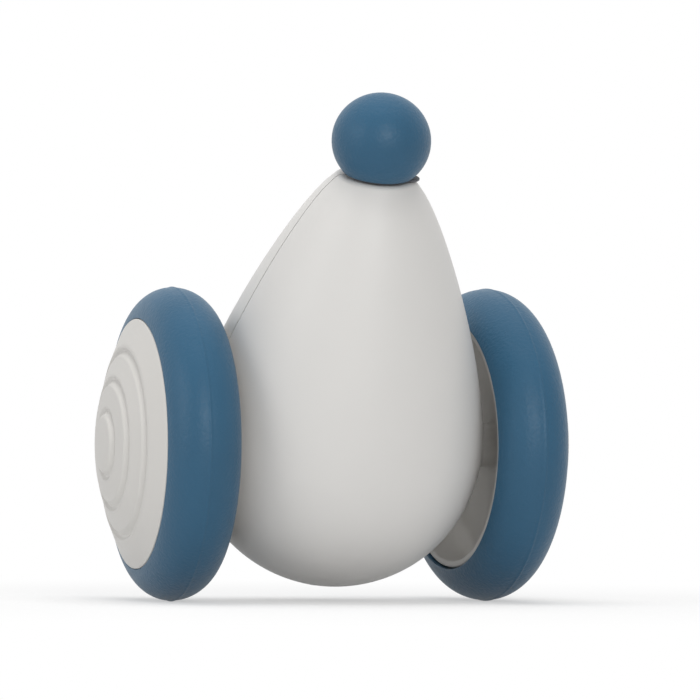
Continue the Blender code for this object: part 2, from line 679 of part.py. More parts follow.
def make_rear_shell(core, drives):
    shell = shell_blank("rear_shell", SHELL_WHITE)
    combine(shell, half_box("front_half", -1), "DIFFERENCE")
    face = -PARTING_FORWARD + PARTING_GAP / 2
    seat = face + SHELL_SCREW_GRIP
    outside = BODY_RADIUS + CUT_OVERRUN
    bosses = []
    cuts = []
    for number, (across, along) in enumerate(SHELL_SCREW_PLACES, 1):
        place = back_place(across, along)
        bosses.append(boss("rear_boss_%d" % number, core, SHELL_BOSS_RADIUS, face, outside, BACK_FRAME, place))
        cuts.append(stepped_cut("screw_well_%d" % number, SHELL_SCREW_RADIUS + FIT_GAP, face - CUT_OVERRUN,
                                seat, SHELL_SCREW_HEAD_RADIUS + FIT_GAP, outside, BACK_FRAME, SMALL_STEPS,
                                place))
    for side, across in (("left", -BOARD_SCREW_ACROSS), ("right", BOARD_SCREW_ACROSS)):
        place = back_place(across, BOARD_SCREW_AXIAL)
        bosses.append(boss("board_boss_" + side, core, BOARD_BOSS_RADIUS, BOARD_FACE + FIT_GAP, outside,
                           BACK_FRAME, place))
        cuts.append(rod("board_boss_hole_" + side, BOARD_SCREW_RADIUS + FIT_GAP, BOARD_FACE - CUT_OVERRUN,
                        BOARD_FACE + BOARD_SCREW_REACH + FIT_GAP, BACK_FRAME, steps=SMALL_STEPS,
                        place=place, cutter=True))
    for name, frame in drives:
        bosses.append(boss(name + "_shaft_boss", core, SHAFT_BOSS_RADIUS, SHAFT_BOSS_START, outside, frame))
        cuts.append(stepped_cut(name + "_bush_hole", BUSH_RADIUS + FIT_GAP, SHAFT_BOSS_START - CUT_OVERRUN,
                                BODY_SIDE - BUSH_FLANGE_HEIGHT, BUSH_FLANGE_RADIUS + FIT_GAP, outside,
                                frame, ROUND_STEPS))
    place = back_place(0.0, BUTTON_AXIAL)
    bore = BUTTON_RADIUS + BUTTON_CLEARANCE
    bosses.append(boss("button_guide", core, bore + BODY_WALL, BUTTON_GUIDE_START, outside, BACK_FRAME, place))
    cuts.append(rod("button_hole", bore, BUTTON_GUIDE_START - CUT_OVERRUN, outside, BACK_FRAME,
                    place=place, cutter=True))
    cuts.append(rod("light_hole", LIGHT_RADIUS + FIT_GAP, BOARD_FACE, outside, BACK_FRAME,
                    steps=SMALL_STEPS, place=back_place(0.0, LIGHT_AXIAL), cutter=True))
    opening = stadium(SOCKET_WIDTH + 2 * FIT_GAP, SOCKET_HEIGHT + 2 * FIT_GAP)
    cuts.append(extruded("socket_hole", [opening], BOARD_FACE, outside, BACK_FRAME,
                         place=back_place(0.0, SOCKET_AXIAL), cutter=True))
    combine_all(shell, "rear_bosses", bosses, "UNION")
    combine_all(shell, "rear_cuts", cuts, "DIFFERENCE")


def ball_arc(radius, half_height, start, end, count):
    """Points of the squashed ball's outline, from one angle to the other."""
    squash = half_height / radius
    return [(x, BALL_RISE + y * squash) for x, y in arc((0.0, 0.0), radius, start, end, count)]


def make_nose():
    """The hollow ball, the headed stem that holds it and the tabbed washer under it."""
    seat = 2 * FIT_GAP + COLLAR_THICKNESS
    floor = seat + BALL_WALL
    hole = STEM_RADIUS + FIT_GAP
    hollow_height = BALL_HALF_HEIGHT - BALL_WALL
    flat = math.asin((BALL_RISE - seat) / BALL_HALF_HEIGHT)
    mouth = math.asin((BALL_RISE - floor) / hollow_height)
    profile = ball_arc(BALL_RADIUS, BALL_HALF_HEIGHT, math.pi / 2, -flat, 11)
    profile[0] = (0.0, BALL_RISE + BALL_HALF_HEIGHT)
    profile += [(hole, seat), (hole, floor)]
    inside = ball_arc(BALL_RADIUS - BALL_WALL, hollow_height, -mouth, math.pi / 2, 5)
    inside[-1] = (0.0, BALL_RISE + hollow_height)
    turned("nose_ball", profile + inside, NOSE_FRAME, SOFT_BLUE, BALL_STEPS)

    ceiling = -BODY_WALL - FIT_GAP
    head = floor + FIT_GAP + STEM_HEAD_HEIGHT
    turned(
        "nose_stem",
        [
            (0.0, head),
            (STEM_RADIUS, head),
            (STEM_HEAD_RADIUS, head - STEM_HEAD_HEIGHT / 2),
            (STEM_HEAD_RADIUS, floor + FIT_GAP),
            (STEM_RADIUS, floor + FIT_GAP),
            (STEM_RADIUS, ceiling),
            (STEM_FLANGE_RADIUS, ceiling),
            (STEM_FLANGE_RADIUS, ceiling - STEM_FLANGE_HEIGHT),
            (0.0, ceiling - STEM_FLANGE_HEIGHT),
        ],
        NOSE_FRAME,
        FRAME_GREY,
    )

    half = COLLAR_TAB_WIDTH / 2
    bend = math.asin(half / COLLAR_RADIUS)
    rim = arc((0.0, 0.0), COLLAR_RADIUS, bend, 2 * math.pi - bend, 24)
    tab = arc((COLLAR_TAB_REACH - half, 0.0), half, -math.pi / 2, math.pi / 2, 8)
    extruded("nose_collar", [rim + tab, circle((0.0, 0.0), hole)], FIT_GAP, FIT_GAP + COLLAR_THICKNESS,
             NOSE_FRAME, WASHER_GREY, turn=COLLAR_TAB_TURN)


def make_tail_socket():
    """A rubber socket with a flange outside the rear pole and a blind bore for a tail."""
    outside = height_at(FINE_SIDE, TAIL_SOCKET_RADIUS)
    flange = -BODY_REAR_LENGTH - FIT_GAP
    turned(
        "tail_socket",
        [
            (0.0, outside + TAIL_SOCKET_DEPTH),
            (TAIL_SOCKET_RADIUS, outside + TAIL_SOCKET_DEPTH),
            (TAIL_SOCKET_RADIUS, flange),
            (TAIL_FLANGE_RADIUS, flange),
            (TAIL_FLANGE_RADIUS, flange - TAIL_FLANGE_HEIGHT),
            (TAIL_BORE_RADIUS, flange - TAIL_FLANGE_HEIGHT),
            (TAIL_BORE_RADIUS, outside + TAIL_SOCKET_DEPTH - TAIL_BORE_RADIUS),
            (0.0, outside + TAIL_SOCKET_DEPTH - TAIL_BORE_RADIUS),
        ],
        BODY_FRAME,
        WASHER_GREY,
    )


def headed_screw(name, shank, reach, head, head_height, seat, frame, place=(0.0, 0.0), flip=1.0):
    """A screw with a domed head; its shank runs down the local Z axis, or up if flipped."""
    top = seat + flip * (FIT_GAP + head_height)
    under = seat + flip * FIT_GAP
    profile = [
        (0.0, top),
        (head * SCREW_CROWN_SHARE, top),
        (head, (top + under) / 2),
        (head, under),
        (shank, under),
        (shank, seat - flip * reach),
        (0.0, seat - flip * reach),
    ]
    if flip < 0.0:
        profile.reverse()
    made = turned(name, profile, frame, STEEL, SMALL_STEPS)
    made.location = (place[0], place[1], 0.0)


def make_shell_screws():
    seat = -PARTING_FORWARD + PARTING_GAP / 2 + SHELL_SCREW_GRIP
    reach = SHELL_SCREW_GRIP + PARTING_GAP + SHELL_SCREW_REACH
    for number, (across, along) in enumerate(SHELL_SCREW_PLACES, 1):
        headed_screw("shell_screw_%d" % number, SHELL_SCREW_RADIUS, reach, SHELL_SCREW_HEAD_RADIUS,
                     SHELL_SCREW_HEAD_HEIGHT, seat, BACK_FRAME, back_place(across, along))


def make_electronics():
    """The board behind the cell, with its switch, light guide and charging socket."""
    middle = -BOARD_AXIAL
    half_width = BOARD_WIDTH / 2
    half_length = BOARD_LENGTH / 2
    board = box("circuit_board", (-half_width, middle - half_length, BOARD_BACK),
                (half_width, middle + half_length, BOARD_FACE), BACK_FRAME, BOARD_GREEN)
    for side, across in (("left", -BOARD_SCREW_ACROSS), ("right", BOARD_SCREW_ACROSS)):
        place = back_place(across, BOARD_SCREW_AXIAL)
        cut = rod("board_hole_" + side, BOARD_SCREW_RADIUS + FIT_GAP, BOARD_BACK - CUT_OVERRUN,
                  BOARD_FACE + CUT_OVERRUN, BACK_FRAME, steps=SMALL_STEPS, place=place, cutter=True)
        combine(board, cut, "DIFFERENCE")
        headed_screw("board_screw_" + side, BOARD_SCREW_RADIUS, BOARD_THICKNESS + BOARD_SCREW_REACH,
                     BOARD_SCREW_HEAD_RADIUS, BOARD_SCREW_HEAD_HEIGHT, BOARD_BACK, BACK_FRAME, place,
                     flip=-1.0)

    cell_middle = -BATTERY_AXIAL
    box("battery", (-BATTERY_WIDTH / 2, cell_middle - BATTERY_LENGTH / 2, BATTERY_FRONT),
        (BATTERY_WIDTH / 2, cell_middle + BATTERY_LENGTH / 2, BATTERY_FRONT + BATTERY_THICKNESS),
        BACK_FRAME, FOIL, edge=BATTERY_EDGE_RADIUS)

    half_switch = SWITCH_SIZE / 2
    centre = -BUTTON_AXIAL
    switch = box("touch_switch", (-half_switch, centre - half_switch, BOARD_FACE + FIT_GAP),
                 (half_switch, centre + half_switch, SWITCH_TOP), BACK_FRAME, BLACK)
    plunger = rod("switch_plunger", BUTTON_STEM_RADIUS, SWITCH_TOP - SWITCH_HEIGHT / 2,
                  SWITCH_TOP + SWITCH_PLUNGER_HEIGHT, BACK_FRAME, place=(0.0, centre), cutter=True)
    combine(switch, plunger, "UNION")

    light_top = radius_at(FINE_SIDE, LIGHT_AXIAL)
    rod("status_light", LIGHT_RADIUS, BOARD_FACE + FIT_GAP, light_top, BACK_FRAME, CLEAR, SMALL_STEPS,
        back_place(0.0, LIGHT_AXIAL))

    surface = radius_at(FINE_SIDE, SOCKET_AXIAL + SOCKET_HEIGHT / 2)
    mouth = math.sqrt(surface ** 2 - (SOCKET_WIDTH / 2) ** 2) - SOCKET_RECESS
    start = BOARD_FACE + FIT_GAP
    place = back_place(0.0, SOCKET_AXIAL)
    socket = extruded("charge_socket", [stadium(SOCKET_WIDTH, SOCKET_HEIGHT)], start, mouth, BACK_FRAME,
                      STEEL, place)
    floor = start + SOCKET_WALL
    cavity = stadium(SOCKET_WIDTH - 2 * SOCKET_WALL, SOCKET_HEIGHT - 2 * SOCKET_WALL)
    combine(socket, extruded("socket_cavity", [cavity], floor, mouth + CUT_OVERRUN, BACK_FRAME,
                             place=place, cutter=True), "DIFFERENCE")
    half_tongue = TONGUE_WIDTH / 2
    half_thick = TONGUE_THICKNESS / 2
    tongue = box("socket_tongue", (-half_tongue, place[1] - half_thick, floor - SOCKET_WALL / 2),
                 (half_tongue, place[1] + half_thick, mouth - SOCKET_RECESS), BACK_FRAME, cutter=True)
    combine(socket, tongue, "UNION")


def make_power_button():
    """A round button that slides in the rear shell and presses the switch with its stem."""
    flange_top = BUTTON_GUIDE_START - FIT_GAP
    foot = SWITCH_TOP + SWITCH_PLUNGER_HEIGHT + BUTTON_TRAVEL + CONTACT_GAP
    made = turned(
        "power_button",
        [
            (0.0, BUTTON_TOP),
            (BUTTON_RADIUS * BUTTON_CROWN_SHARE, BUTTON_TOP),
            (BUTTON_RADIUS, BUTTON_TOP - BUTTON_EDGE_DROP),
            (BUTTON_RADIUS, flange_top),
            (BUTTON_FLANGE_RADIUS, flange_top),
            (BUTTON_FLANGE_RADIUS, flange_top - BUTTON_FLANGE_HEIGHT),
            (BUTTON_STEM_RADIUS, flange_top - BUTTON_FLANGE_HEIGHT),
            (BUTTON_STEM_RADIUS, foot),
            (0.0, foot),
        ],
        BACK_FRAME,
        WASHER_GREY,
    )
    place = back_place(0.0, BUTTON_AXIAL)
    made.location = (place[0], place[1], 0.0)


def make_tyre(name, frame):
    """A round tread over a bore with a groove for the hub's rib."""
    bore = HUB_RADIUS + FIT_GAP
    centre = TYRE_RADIUS - TYRE_SECTION_RADIUS
    spread = math.acos((bore - centre) / TYRE_SECTION_RADIUS)
    tread = arc((centre, WHEEL_PLANE_X), TYRE_SECTION_RADIUS, spread, -spread, 10)
    groove = HUB_RIB_HALF_WIDTH + FIT_GAP
    depth = bore + HUB_RIB_HEIGHT
    profile = tread + [
        (bore, WHEEL_PLANE_X - groove),
        (depth, WHEEL_PLANE_X - groove),
        (depth, WHEEL_PLANE_X + groove),
        (bore, WHEEL_PLANE_X + groove),
    ]
    turned(name + "_tyre", profile, frame, SOFT_BLUE, TYRE_STEPS, closed=True, turn=math.pi / TYRE_STEPS)


def make_hub(name, frame):
    """A barrel with a rib outside and a bowl that is open to the body, closed by a web with a boss."""
    inside = HUB_RADIUS - HUB_WALL
    rib = HUB_RADIUS + HUB_RIB_HEIGHT
    top = WHEEL_PLANE_X + HUB_HALF_WIDTH - COVER_EDGE - FIT_GAP
    foot = WHEEL_PLANE_X - HUB_HALF_WIDTH
    web = WHEEL_PLANE_X + HUB_WEB_U
    bowl = arc((inside - HUB_BOWL_FILLET, web - HUB_BOWL_FILLET), HUB_BOWL_FILLET, 0.0, math.pi / 2, 3)
    screw_hole = WHEEL_SCREW_RADIUS + FIT_GAP
    profile = [
        (HUB_RADIUS, top),
        (HUB_RADIUS, WHEEL_PLANE_X + HUB_RIB_HALF_WIDTH),
        (rib, WHEEL_PLANE_X + HUB_RIB_HALF_WIDTH),
        (rib, WHEEL_PLANE_X - HUB_RIB_HALF_WIDTH),
        (HUB_RADIUS, WHEEL_PLANE_X - HUB_RIB_HALF_WIDTH),
        (HUB_RADIUS, foot + HUB_EDGE_RADIUS),
        (HUB_RADIUS - HUB_EDGE_RADIUS, foot),
        (inside + HUB_EDGE_RADIUS, foot),
        (inside, foot + HUB_EDGE_RADIUS),
    ]
    profile += bowl
    profile += [
        (HUB_BOSS_RADIUS, web),
        (HUB_BOSS_RADIUS, BODY_SIDE + HUB_BODY_GAP),
        (AXLE_BORE, BODY_SIDE + HUB_BODY_GAP),
        (AXLE_BORE, WEB_TOP),
        (screw_hole, WEB_TOP),
        (screw_hole, WEB_TOP + HUB_BOSS_OUTER_HEIGHT),
        (HUB_BOSS_RADIUS, WEB_TOP + HUB_BOSS_OUTER_HEIGHT),
        (HUB_BOSS_RADIUS, WEB_TOP),
        (inside, WEB_TOP),
        (inside, top),
    ]
    turned(name + "_hub", profile, frame, HUB_WHITE, HUB_STEPS, closed=True)


def dome_height(radius):
    return COVER_DOME_HEIGHT * (1 - (radius / HUB_RADIUS) ** 2)


def make_hub_cover(name, frame):
    """A dome that rises in rounded steps at its creases, with a skirt that fits inside the hub."""
    rim = WHEEL_PLANE_X + HUB_HALF_WIDTH
    profile = [(0.0, rim + COVER_DOME_HEIGHT)]
    inner_end = 0.0
    for crease in reversed(COVER_CREASE_RADII):
        low = dome_height(crease) - COVER_CREASE_DEPTH
        shoulder = crease - COVER_STEP_RUN
        inner_height = profile[-1][1] - rim
        middle = (inner_end + shoulder) / 2
        bulge = (inner_height + low + COVER_STEP_RISE) / 2 + COVER_BULGE
        if inner_end > 0.0:
            profile.append((middle, rim + bulge))
        for run_share, rise_share in COVER_STEP_SHARES:
            profile.append((crease - COVER_STEP_RUN * run_share, rim + low + COVER_STEP_RISE * rise_share))
        inner_end = crease
    middle = (inner_end + HUB_RADIUS) / 2
    profile.append((middle, rim + (profile[-1][1] - rim) / 2 + COVER_BULGE))
    profile += [(HUB_RADIUS - COVER_EDGE / 2, rim), (HUB_RADIUS, rim - COVER_EDGE / 2)]
    profile.append((HUB_RADIUS, rim - COVER_EDGE))
    skirt = HUB_RADIUS - HUB_WALL - FIT_GAP
    skirt_foot = rim - COVER_EDGE - COVER_SKIRT_DEPTH
    skirt_inside = skirt - COVER_SKIRT_WALL
    profile += [(skirt, rim - COVER_EDGE), (skirt, skirt_foot), (skirt_inside, skirt_foot)]
    drop = COVER_CREASE_DEPTH + COVER_WALL
    for radius in [skirt_inside] + COVER_CREASE_RADII:
        profile.append((radius, rim + dome_height(radius) - drop))
    profile.append((0.0, rim + COVER_DOME_HEIGHT - drop))
    turned(name + "_hub_cover", profile, frame, HUB_WHITE, HUB_STEPS)


def make_axle_and_bush(name, frame):
    end = WEB_TOP - FIT_GAP
    tapped = WHEEL_SCREW_RADIUS + FIT_GAP
    depth = end - WHEEL_SCREW_REACH - FIT_GAP
    profile = [
        (tapped, end),
        (AXLE_RADIUS, end),
        (AXLE_RADIUS, PLATE_START),
        (0.0, PLATE_START),
    ]
    turned(name + "_axle", [(0.0, depth), (tapped, depth)] + profile, frame, STEEL)
    headed_screw(name + "_wheel_screw", WHEEL_SCREW_RADIUS,
                 HUB_BOSS_OUTER_HEIGHT + WHEEL_SCREW_REACH, WHEEL_SCREW_HEAD_RADIUS,
                 WHEEL_SCREW_HEAD_HEIGHT, WEB_TOP + HUB_BOSS_OUTER_HEIGHT, frame)
    under = BODY_SIDE - BUSH_FLANGE_HEIGHT + FIT_GAP
    turned(
        name + "_bush",
        [
            (AXLE_BORE, under + BUSH_FLANGE_HEIGHT),
            (BUSH_FLANGE_RADIUS, under + BUSH_FLANGE_HEIGHT),
            (BUSH_FLANGE_RADIUS, under),
            (BUSH_RADIUS, under),
            (BUSH_RADIUS, SHAFT_BOSS_START),
            (AXLE_BORE, SHAFT_BOSS_START),
        ],
        frame,
        BRONZE,
        closed=True,
    )


def make_gears(name, frame, hand):
    """The output gear on the axle, the double idler gear on its pin and the motor's pinion."""
    idler = (hand * IDLER_PLACE[0], IDLER_PLACE[1])
    motor = (hand * MOTOR_PLACE[0], MOTOR_PLACE[1])
    to_idler = math.atan2(idler[1], idler[0])
    to_motor = math.atan2(motor[1] - idler[1], motor[0] - idler[0])
    pin_bore = IDLER_PIN_RADIUS + FIT_GAP

    outline = gear_outline(OUTPUT_TEETH, GEAR_BACKLASH)
    extruded(name + "_output_gear", [outline, circle((0.0, 0.0), AXLE_BORE)], OUTPUT_START, OUTPUT_END,
             frame, GEAR_WHITE)

    idler_turn = meshed_turn(0.0, OUTPUT_TEETH, IDLER_PINION_TEETH, to_idler)
    bore = circle((0.0, 0.0), pin_bore, SMALL_STEPS)
    gear = extruded(name + "_idler_gear", [gear_outline(IDLER_GEAR_TEETH, GEAR_BACKLASH), bore],
                    IDLER_START, IDLER_END, frame, GEAR_WHITE, idler, idler_turn)
    pinion = extruded(name + "_idler_pinion", [gear_outline(IDLER_PINION_TEETH, GEAR_BACKLASH), bore],
                      IDLER_END - IDLER_GEAR_WIDTH / 2, OUTPUT_END, frame, None, idler, idler_turn,
                      cutter=True)
    combine(gear, pinion, "UNION")
    rod(name + "_idler_pin", IDLER_PIN_RADIUS, PLATE_START, COVER_PLATE_END, frame, STEEL, SMALL_STEPS, idler)

    pinion_turn = meshed_turn(idler_turn, IDLER_GEAR_TEETH, MOTOR_PINION_TEETH, to_motor)
    pinion = extruded(name + "_motor_pinion", [gear_outline(MOTOR_PINION_TEETH, GEAR_BACKLASH)],
                      IDLER_START, IDLER_END, frame, STEEL, motor, pinion_turn)
    shaft = rod(name + "_motor_shaft", MOTOR_SHAFT_RADIUS, CAN_END - MOTOR_NOSE_LENGTH,
                IDLER_END - IDLER_GEAR_WIDTH / 2, frame, None, SMALL_STEPS, motor, cutter=True)
    combine(pinion, shaft, "UNION")


def make_gear_plates(name, frame, hand):
    """The inner plate that the motor sits on, and the outer plate with the posts that reach it."""
    idler = (hand * IDLER_PLACE[0], IDLER_PLACE[1])
    motor = (hand * MOTOR_PLACE[0], MOTOR_PLACE[1])
    posts = [(hand * x, y) for x, y in POST_PLACES]
    rim = POST_RADIUS + PLATE_MARGIN / 2
    post_circles = [(place, rim) for place in posts]
    pin_hole = circle(idler, IDLER_PIN_RADIUS + FIT_GAP, SMALL_STEPS)
    axle_hole = circle((0.0, 0.0), AXLE_BORE)
    nose_hole = circle(motor, MOTOR_NOSE_RADIUS + FIT_GAP)
    inner = hull(post_circles + [(idler, rim), (motor, MOTOR_NOSE_RADIUS + PLATE_MARGIN)])
    extruded(name + "_gear_plate", [inner, pin_hole, axle_hole, nose_hole], PLATE_START, PLATE_END,
             frame, FRAME_GREY)
    outer = hull(post_circles + [(idler, rim)])
    cover = extruded(name + "_gear_cover", [outer, pin_hole, axle_hole], COVER_PLATE_START,
                     COVER_PLATE_END, frame, FRAME_GREY)
    for number, place in enumerate(posts, 1):
        post = rod("%s_post_%d" % (name, number), POST_RADIUS, PLATE_END + FIT_GAP,
                   COVER_PLATE_START + PLATE_THICKNESS / 2, frame, steps=SMALL_STEPS, place=place,
                   cutter=True)
        combine(cover, post, "UNION")


def rounded_block(width, thickness, edge):
    """An outline with flat sides and rounded corners."""
    across = width / 2 - edge
    along = thickness / 2 - edge
    outline = []
    for number, (x, y) in enumerate(((across, along), (-across, along), (-across, -along), (across, -along))):
        outline += arc((x, y), edge, number * math.pi / 2, (number + 1) * math.pi / 2, 3)
    return outline


def make_motor(name, frame, hand):
    """A flat-sided can with a round nose, and the plastic cap at its other end."""
    place = (hand * MOTOR_PLACE[0], MOTOR_PLACE[1])
    turn = hand * LEAN_ANGLE
    outline = rounded_block(MOTOR_WIDTH, MOTOR_THICKNESS, MOTOR_EDGE_RADIUS)
    can = extruded(name + "_motor_can", [outline], CAN_START, CAN_END, frame, STEEL, place, turn)
    nose = rod(name + "_motor_nose", MOTOR_NOSE_RADIUS, CAN_END - MOTOR_NOSE_LENGTH,
               CAN_END + MOTOR_NOSE_LENGTH, frame, place=place, cutter=True)
    combine(can, nose, "UNION")
    well = rod(name + "_shaft_well", MOTOR_SHAFT_RADIUS + FIT_GAP, CAN_END - MOTOR_NOSE_LENGTH - FIT_GAP,
               CAN_END + MOTOR_NOSE_LENGTH + CUT_OVERRUN, frame, steps=SMALL_STEPS, place=place, cutter=True)
    combine(can, well, "DIFFERENCE")
    extruded(name + "_motor_cap", [outline], MOTOR_START_X, CAN_START - FIT_GAP, frame, BLACK, place, turn)


def make_toy():
    drives = [("left", drive_frame("left_frame", -1.0)), ("right", drive_frame("right_frame", 1.0))]
    core = shell_core()
    make_front_shell(core)
    make_rear_shell(core, drives)
    make_nose()
    make_tail_socket()
    make_shell_screws()
    make_electronics()
    make_power_button()
    for (name, frame), hand in zip(drives, (-1.0, 1.0)):
        make_tyre(name, frame)
        make_hub(name, frame)
        make_hub_cover(name, frame)
        make_axle_and_bush(name, frame)
        make_gears(name, frame, hand)
        make_gear_plates(name, frame, hand)
        make_motor(name, frame, hand)
    bpy.context.view_layer.update()


make_toy()
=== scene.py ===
"""Robotic mouse cat toy: finished surfaces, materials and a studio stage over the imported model."""
import json
import math

import bmesh
import bpy
from mathutils import Matrix, Vector


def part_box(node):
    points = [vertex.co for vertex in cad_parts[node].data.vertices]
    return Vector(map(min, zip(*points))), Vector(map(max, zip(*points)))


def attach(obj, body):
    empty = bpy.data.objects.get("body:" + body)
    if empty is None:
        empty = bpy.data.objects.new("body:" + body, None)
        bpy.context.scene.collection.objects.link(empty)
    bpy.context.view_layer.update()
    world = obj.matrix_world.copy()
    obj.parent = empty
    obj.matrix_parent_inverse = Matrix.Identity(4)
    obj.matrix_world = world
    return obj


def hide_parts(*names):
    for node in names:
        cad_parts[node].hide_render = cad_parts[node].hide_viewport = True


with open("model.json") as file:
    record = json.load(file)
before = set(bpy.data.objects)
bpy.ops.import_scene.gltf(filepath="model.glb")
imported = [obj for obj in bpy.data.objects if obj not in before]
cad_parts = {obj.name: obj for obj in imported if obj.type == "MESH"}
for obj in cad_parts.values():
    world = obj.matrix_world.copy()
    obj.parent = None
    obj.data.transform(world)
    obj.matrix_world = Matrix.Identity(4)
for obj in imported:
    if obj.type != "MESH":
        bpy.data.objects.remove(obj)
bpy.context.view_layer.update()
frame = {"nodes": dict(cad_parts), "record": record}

bl_info = {
    "name": "Robotic mouse cat toy",
    "version": (1, 0, 0),
    "blender": (4, 5, 0),
    "location": "View3D > Sidebar > Mouse toy",
    "description": "Builds the finished surfaces of a two-wheeled robotic mouse cat toy",
    "category": "Object",
}

MERGE_DISTANCE = 0.0000005
BODY = "body"
WHITE = (1.0, 1.0, 1.0, 1.0)

# Rows along the outlines
SIDE_ROWS = 56
INSIDE_ROWS = 30
CORE_ROWS = 24
FINE_ROWS = 200
BALL_ROWS = 64
HOLLOW_ROWS = 20
TREAD_ROWS = 56
SEAM_ROWS = 3
BAND_ROWS = 8
CREASE_ROWS = 6
STEP_ROWS = 8
CENTRE_ROWS = 12
DISH_ROWS = 10
GUIDE_ROWS = 8

# Steps round the axes of the turned pieces and round the flat outlines
BODY_STEPS = 160
CORE_STEPS = 96
BALL_STEPS = 128
TYRE_STEPS = 192
HUB_STEPS = 144
COVER_STEPS = 192
BUTTON_STEPS = 96
HOLE_STEPS = 64
ROD_STEPS = 48
WASHER_STEPS = 72
TAB_STEPS = 24
HEAD_STEPS = 40
SHANK_STEPS = 24

# The angle in degrees from which two faces of a piece meet in a sharp edge
CRISP_EDGES = 30.0
USUAL_EDGES = 35.0
ROUND_EDGES = 40.0
SOFT_EDGES = 50.0

# How fast the mould line falls away, and how far the tread's other rows keep from it
SEAM_FALL = 2.2
SEAM_CLEARANCE = 1.2

# Radius of a screw's crown, and reach of its cross recess, as shares of the head
CROWN_SHARE = 0.72
RECESS_REACH = 1.15

# Where the noise patterns mostly lie, and what the finishes make of them
NOISE_LOW = 0.3
NOISE_HIGH = 0.7
MOTTLE_SCALE = 90.0
MOULDED_GLOSS_SPREAD = 0.05
METAL_GLOSS_SPREAD = 0.08
STREAK_SHADE = 0.88
DRAWN_STRETCH = (1.0, 12.0, 12.0)
TRACK_SCALE = 420.0
TRACK_SHADE = 2.2

# The studio: the floor's reach, the lights with their places and sizes, the point that they
# face, and the camera's sensor in millimetres and reach in metres
FLOOR_REACH = 6.0
LIGHTS = {
    "top": ((0.0, 0.05, 0.80), 0.7, 0.7),
    "front": ((-0.10, -0.96, 0.39), 0.4, 0.5),
    "left": ((-0.90, -0.20, 0.40), 0.5, 0.6),
}
LIT_POINT = (0.0, 0.0, 0.05)
SENSOR_WIDTH = 36.0
CAMERA_REACH = 50.0

# The wheels' hinges give the place and the tilt of each axle
HINGES = {joint["name"]: joint for joint in frame["record"]["behaviour"]["joints"]}
RIGHT_HINGE = HINGES["right_wheel_spin"]
RIGHT_OUTWARD = Vector(RIGHT_HINGE["axis"]).normalized()
WHEEL_CENTRE = Vector(RIGHT_HINGE["pos_m"])
WHEEL_PLANE = WHEEL_CENTRE.x / RIGHT_OUTWARD.x
AXLE_CENTRE = WHEEL_CENTRE - RIGHT_OUTWARD * WHEEL_PLANE
BUTTON_INWARD = Vector(HINGES["button_press"]["axis"]).normalized()
LEAN = math.atan2(-BUTTON_INWARD.z, -BUTTON_INWARD.y)
SIDES = {"left": -1.0, "right": 1.0}


def length(name, description, default):
    """A size in metres."""
    return bpy.props.FloatProperty(
        name=name, description=description, default=default, min=0.0, precision=5, unit="LENGTH"
    )


def angle(name, description, degrees):
    """An angle, stated in degrees."""
    return bpy.props.FloatProperty(
        name=name, description=description, default=math.radians(degrees), subtype="ANGLE"
    )


def share(name, description, default):
    """A plain factor."""
    return bpy.props.FloatProperty(
        name=name, description=description, default=default, min=0.0, max=1.0
    )


def amount(name, description, default):
    """A plain number, such as a strength."""
    return bpy.props.FloatProperty(name=name, description=description, default=default, min=0.0)


def colour(name, description, default):
    """A linear colour."""
    return bpy.props.FloatVectorProperty(
        name=name, description=description, default=default, size=3, min=0.0, max=1.0, subtype="COLOR"
    )


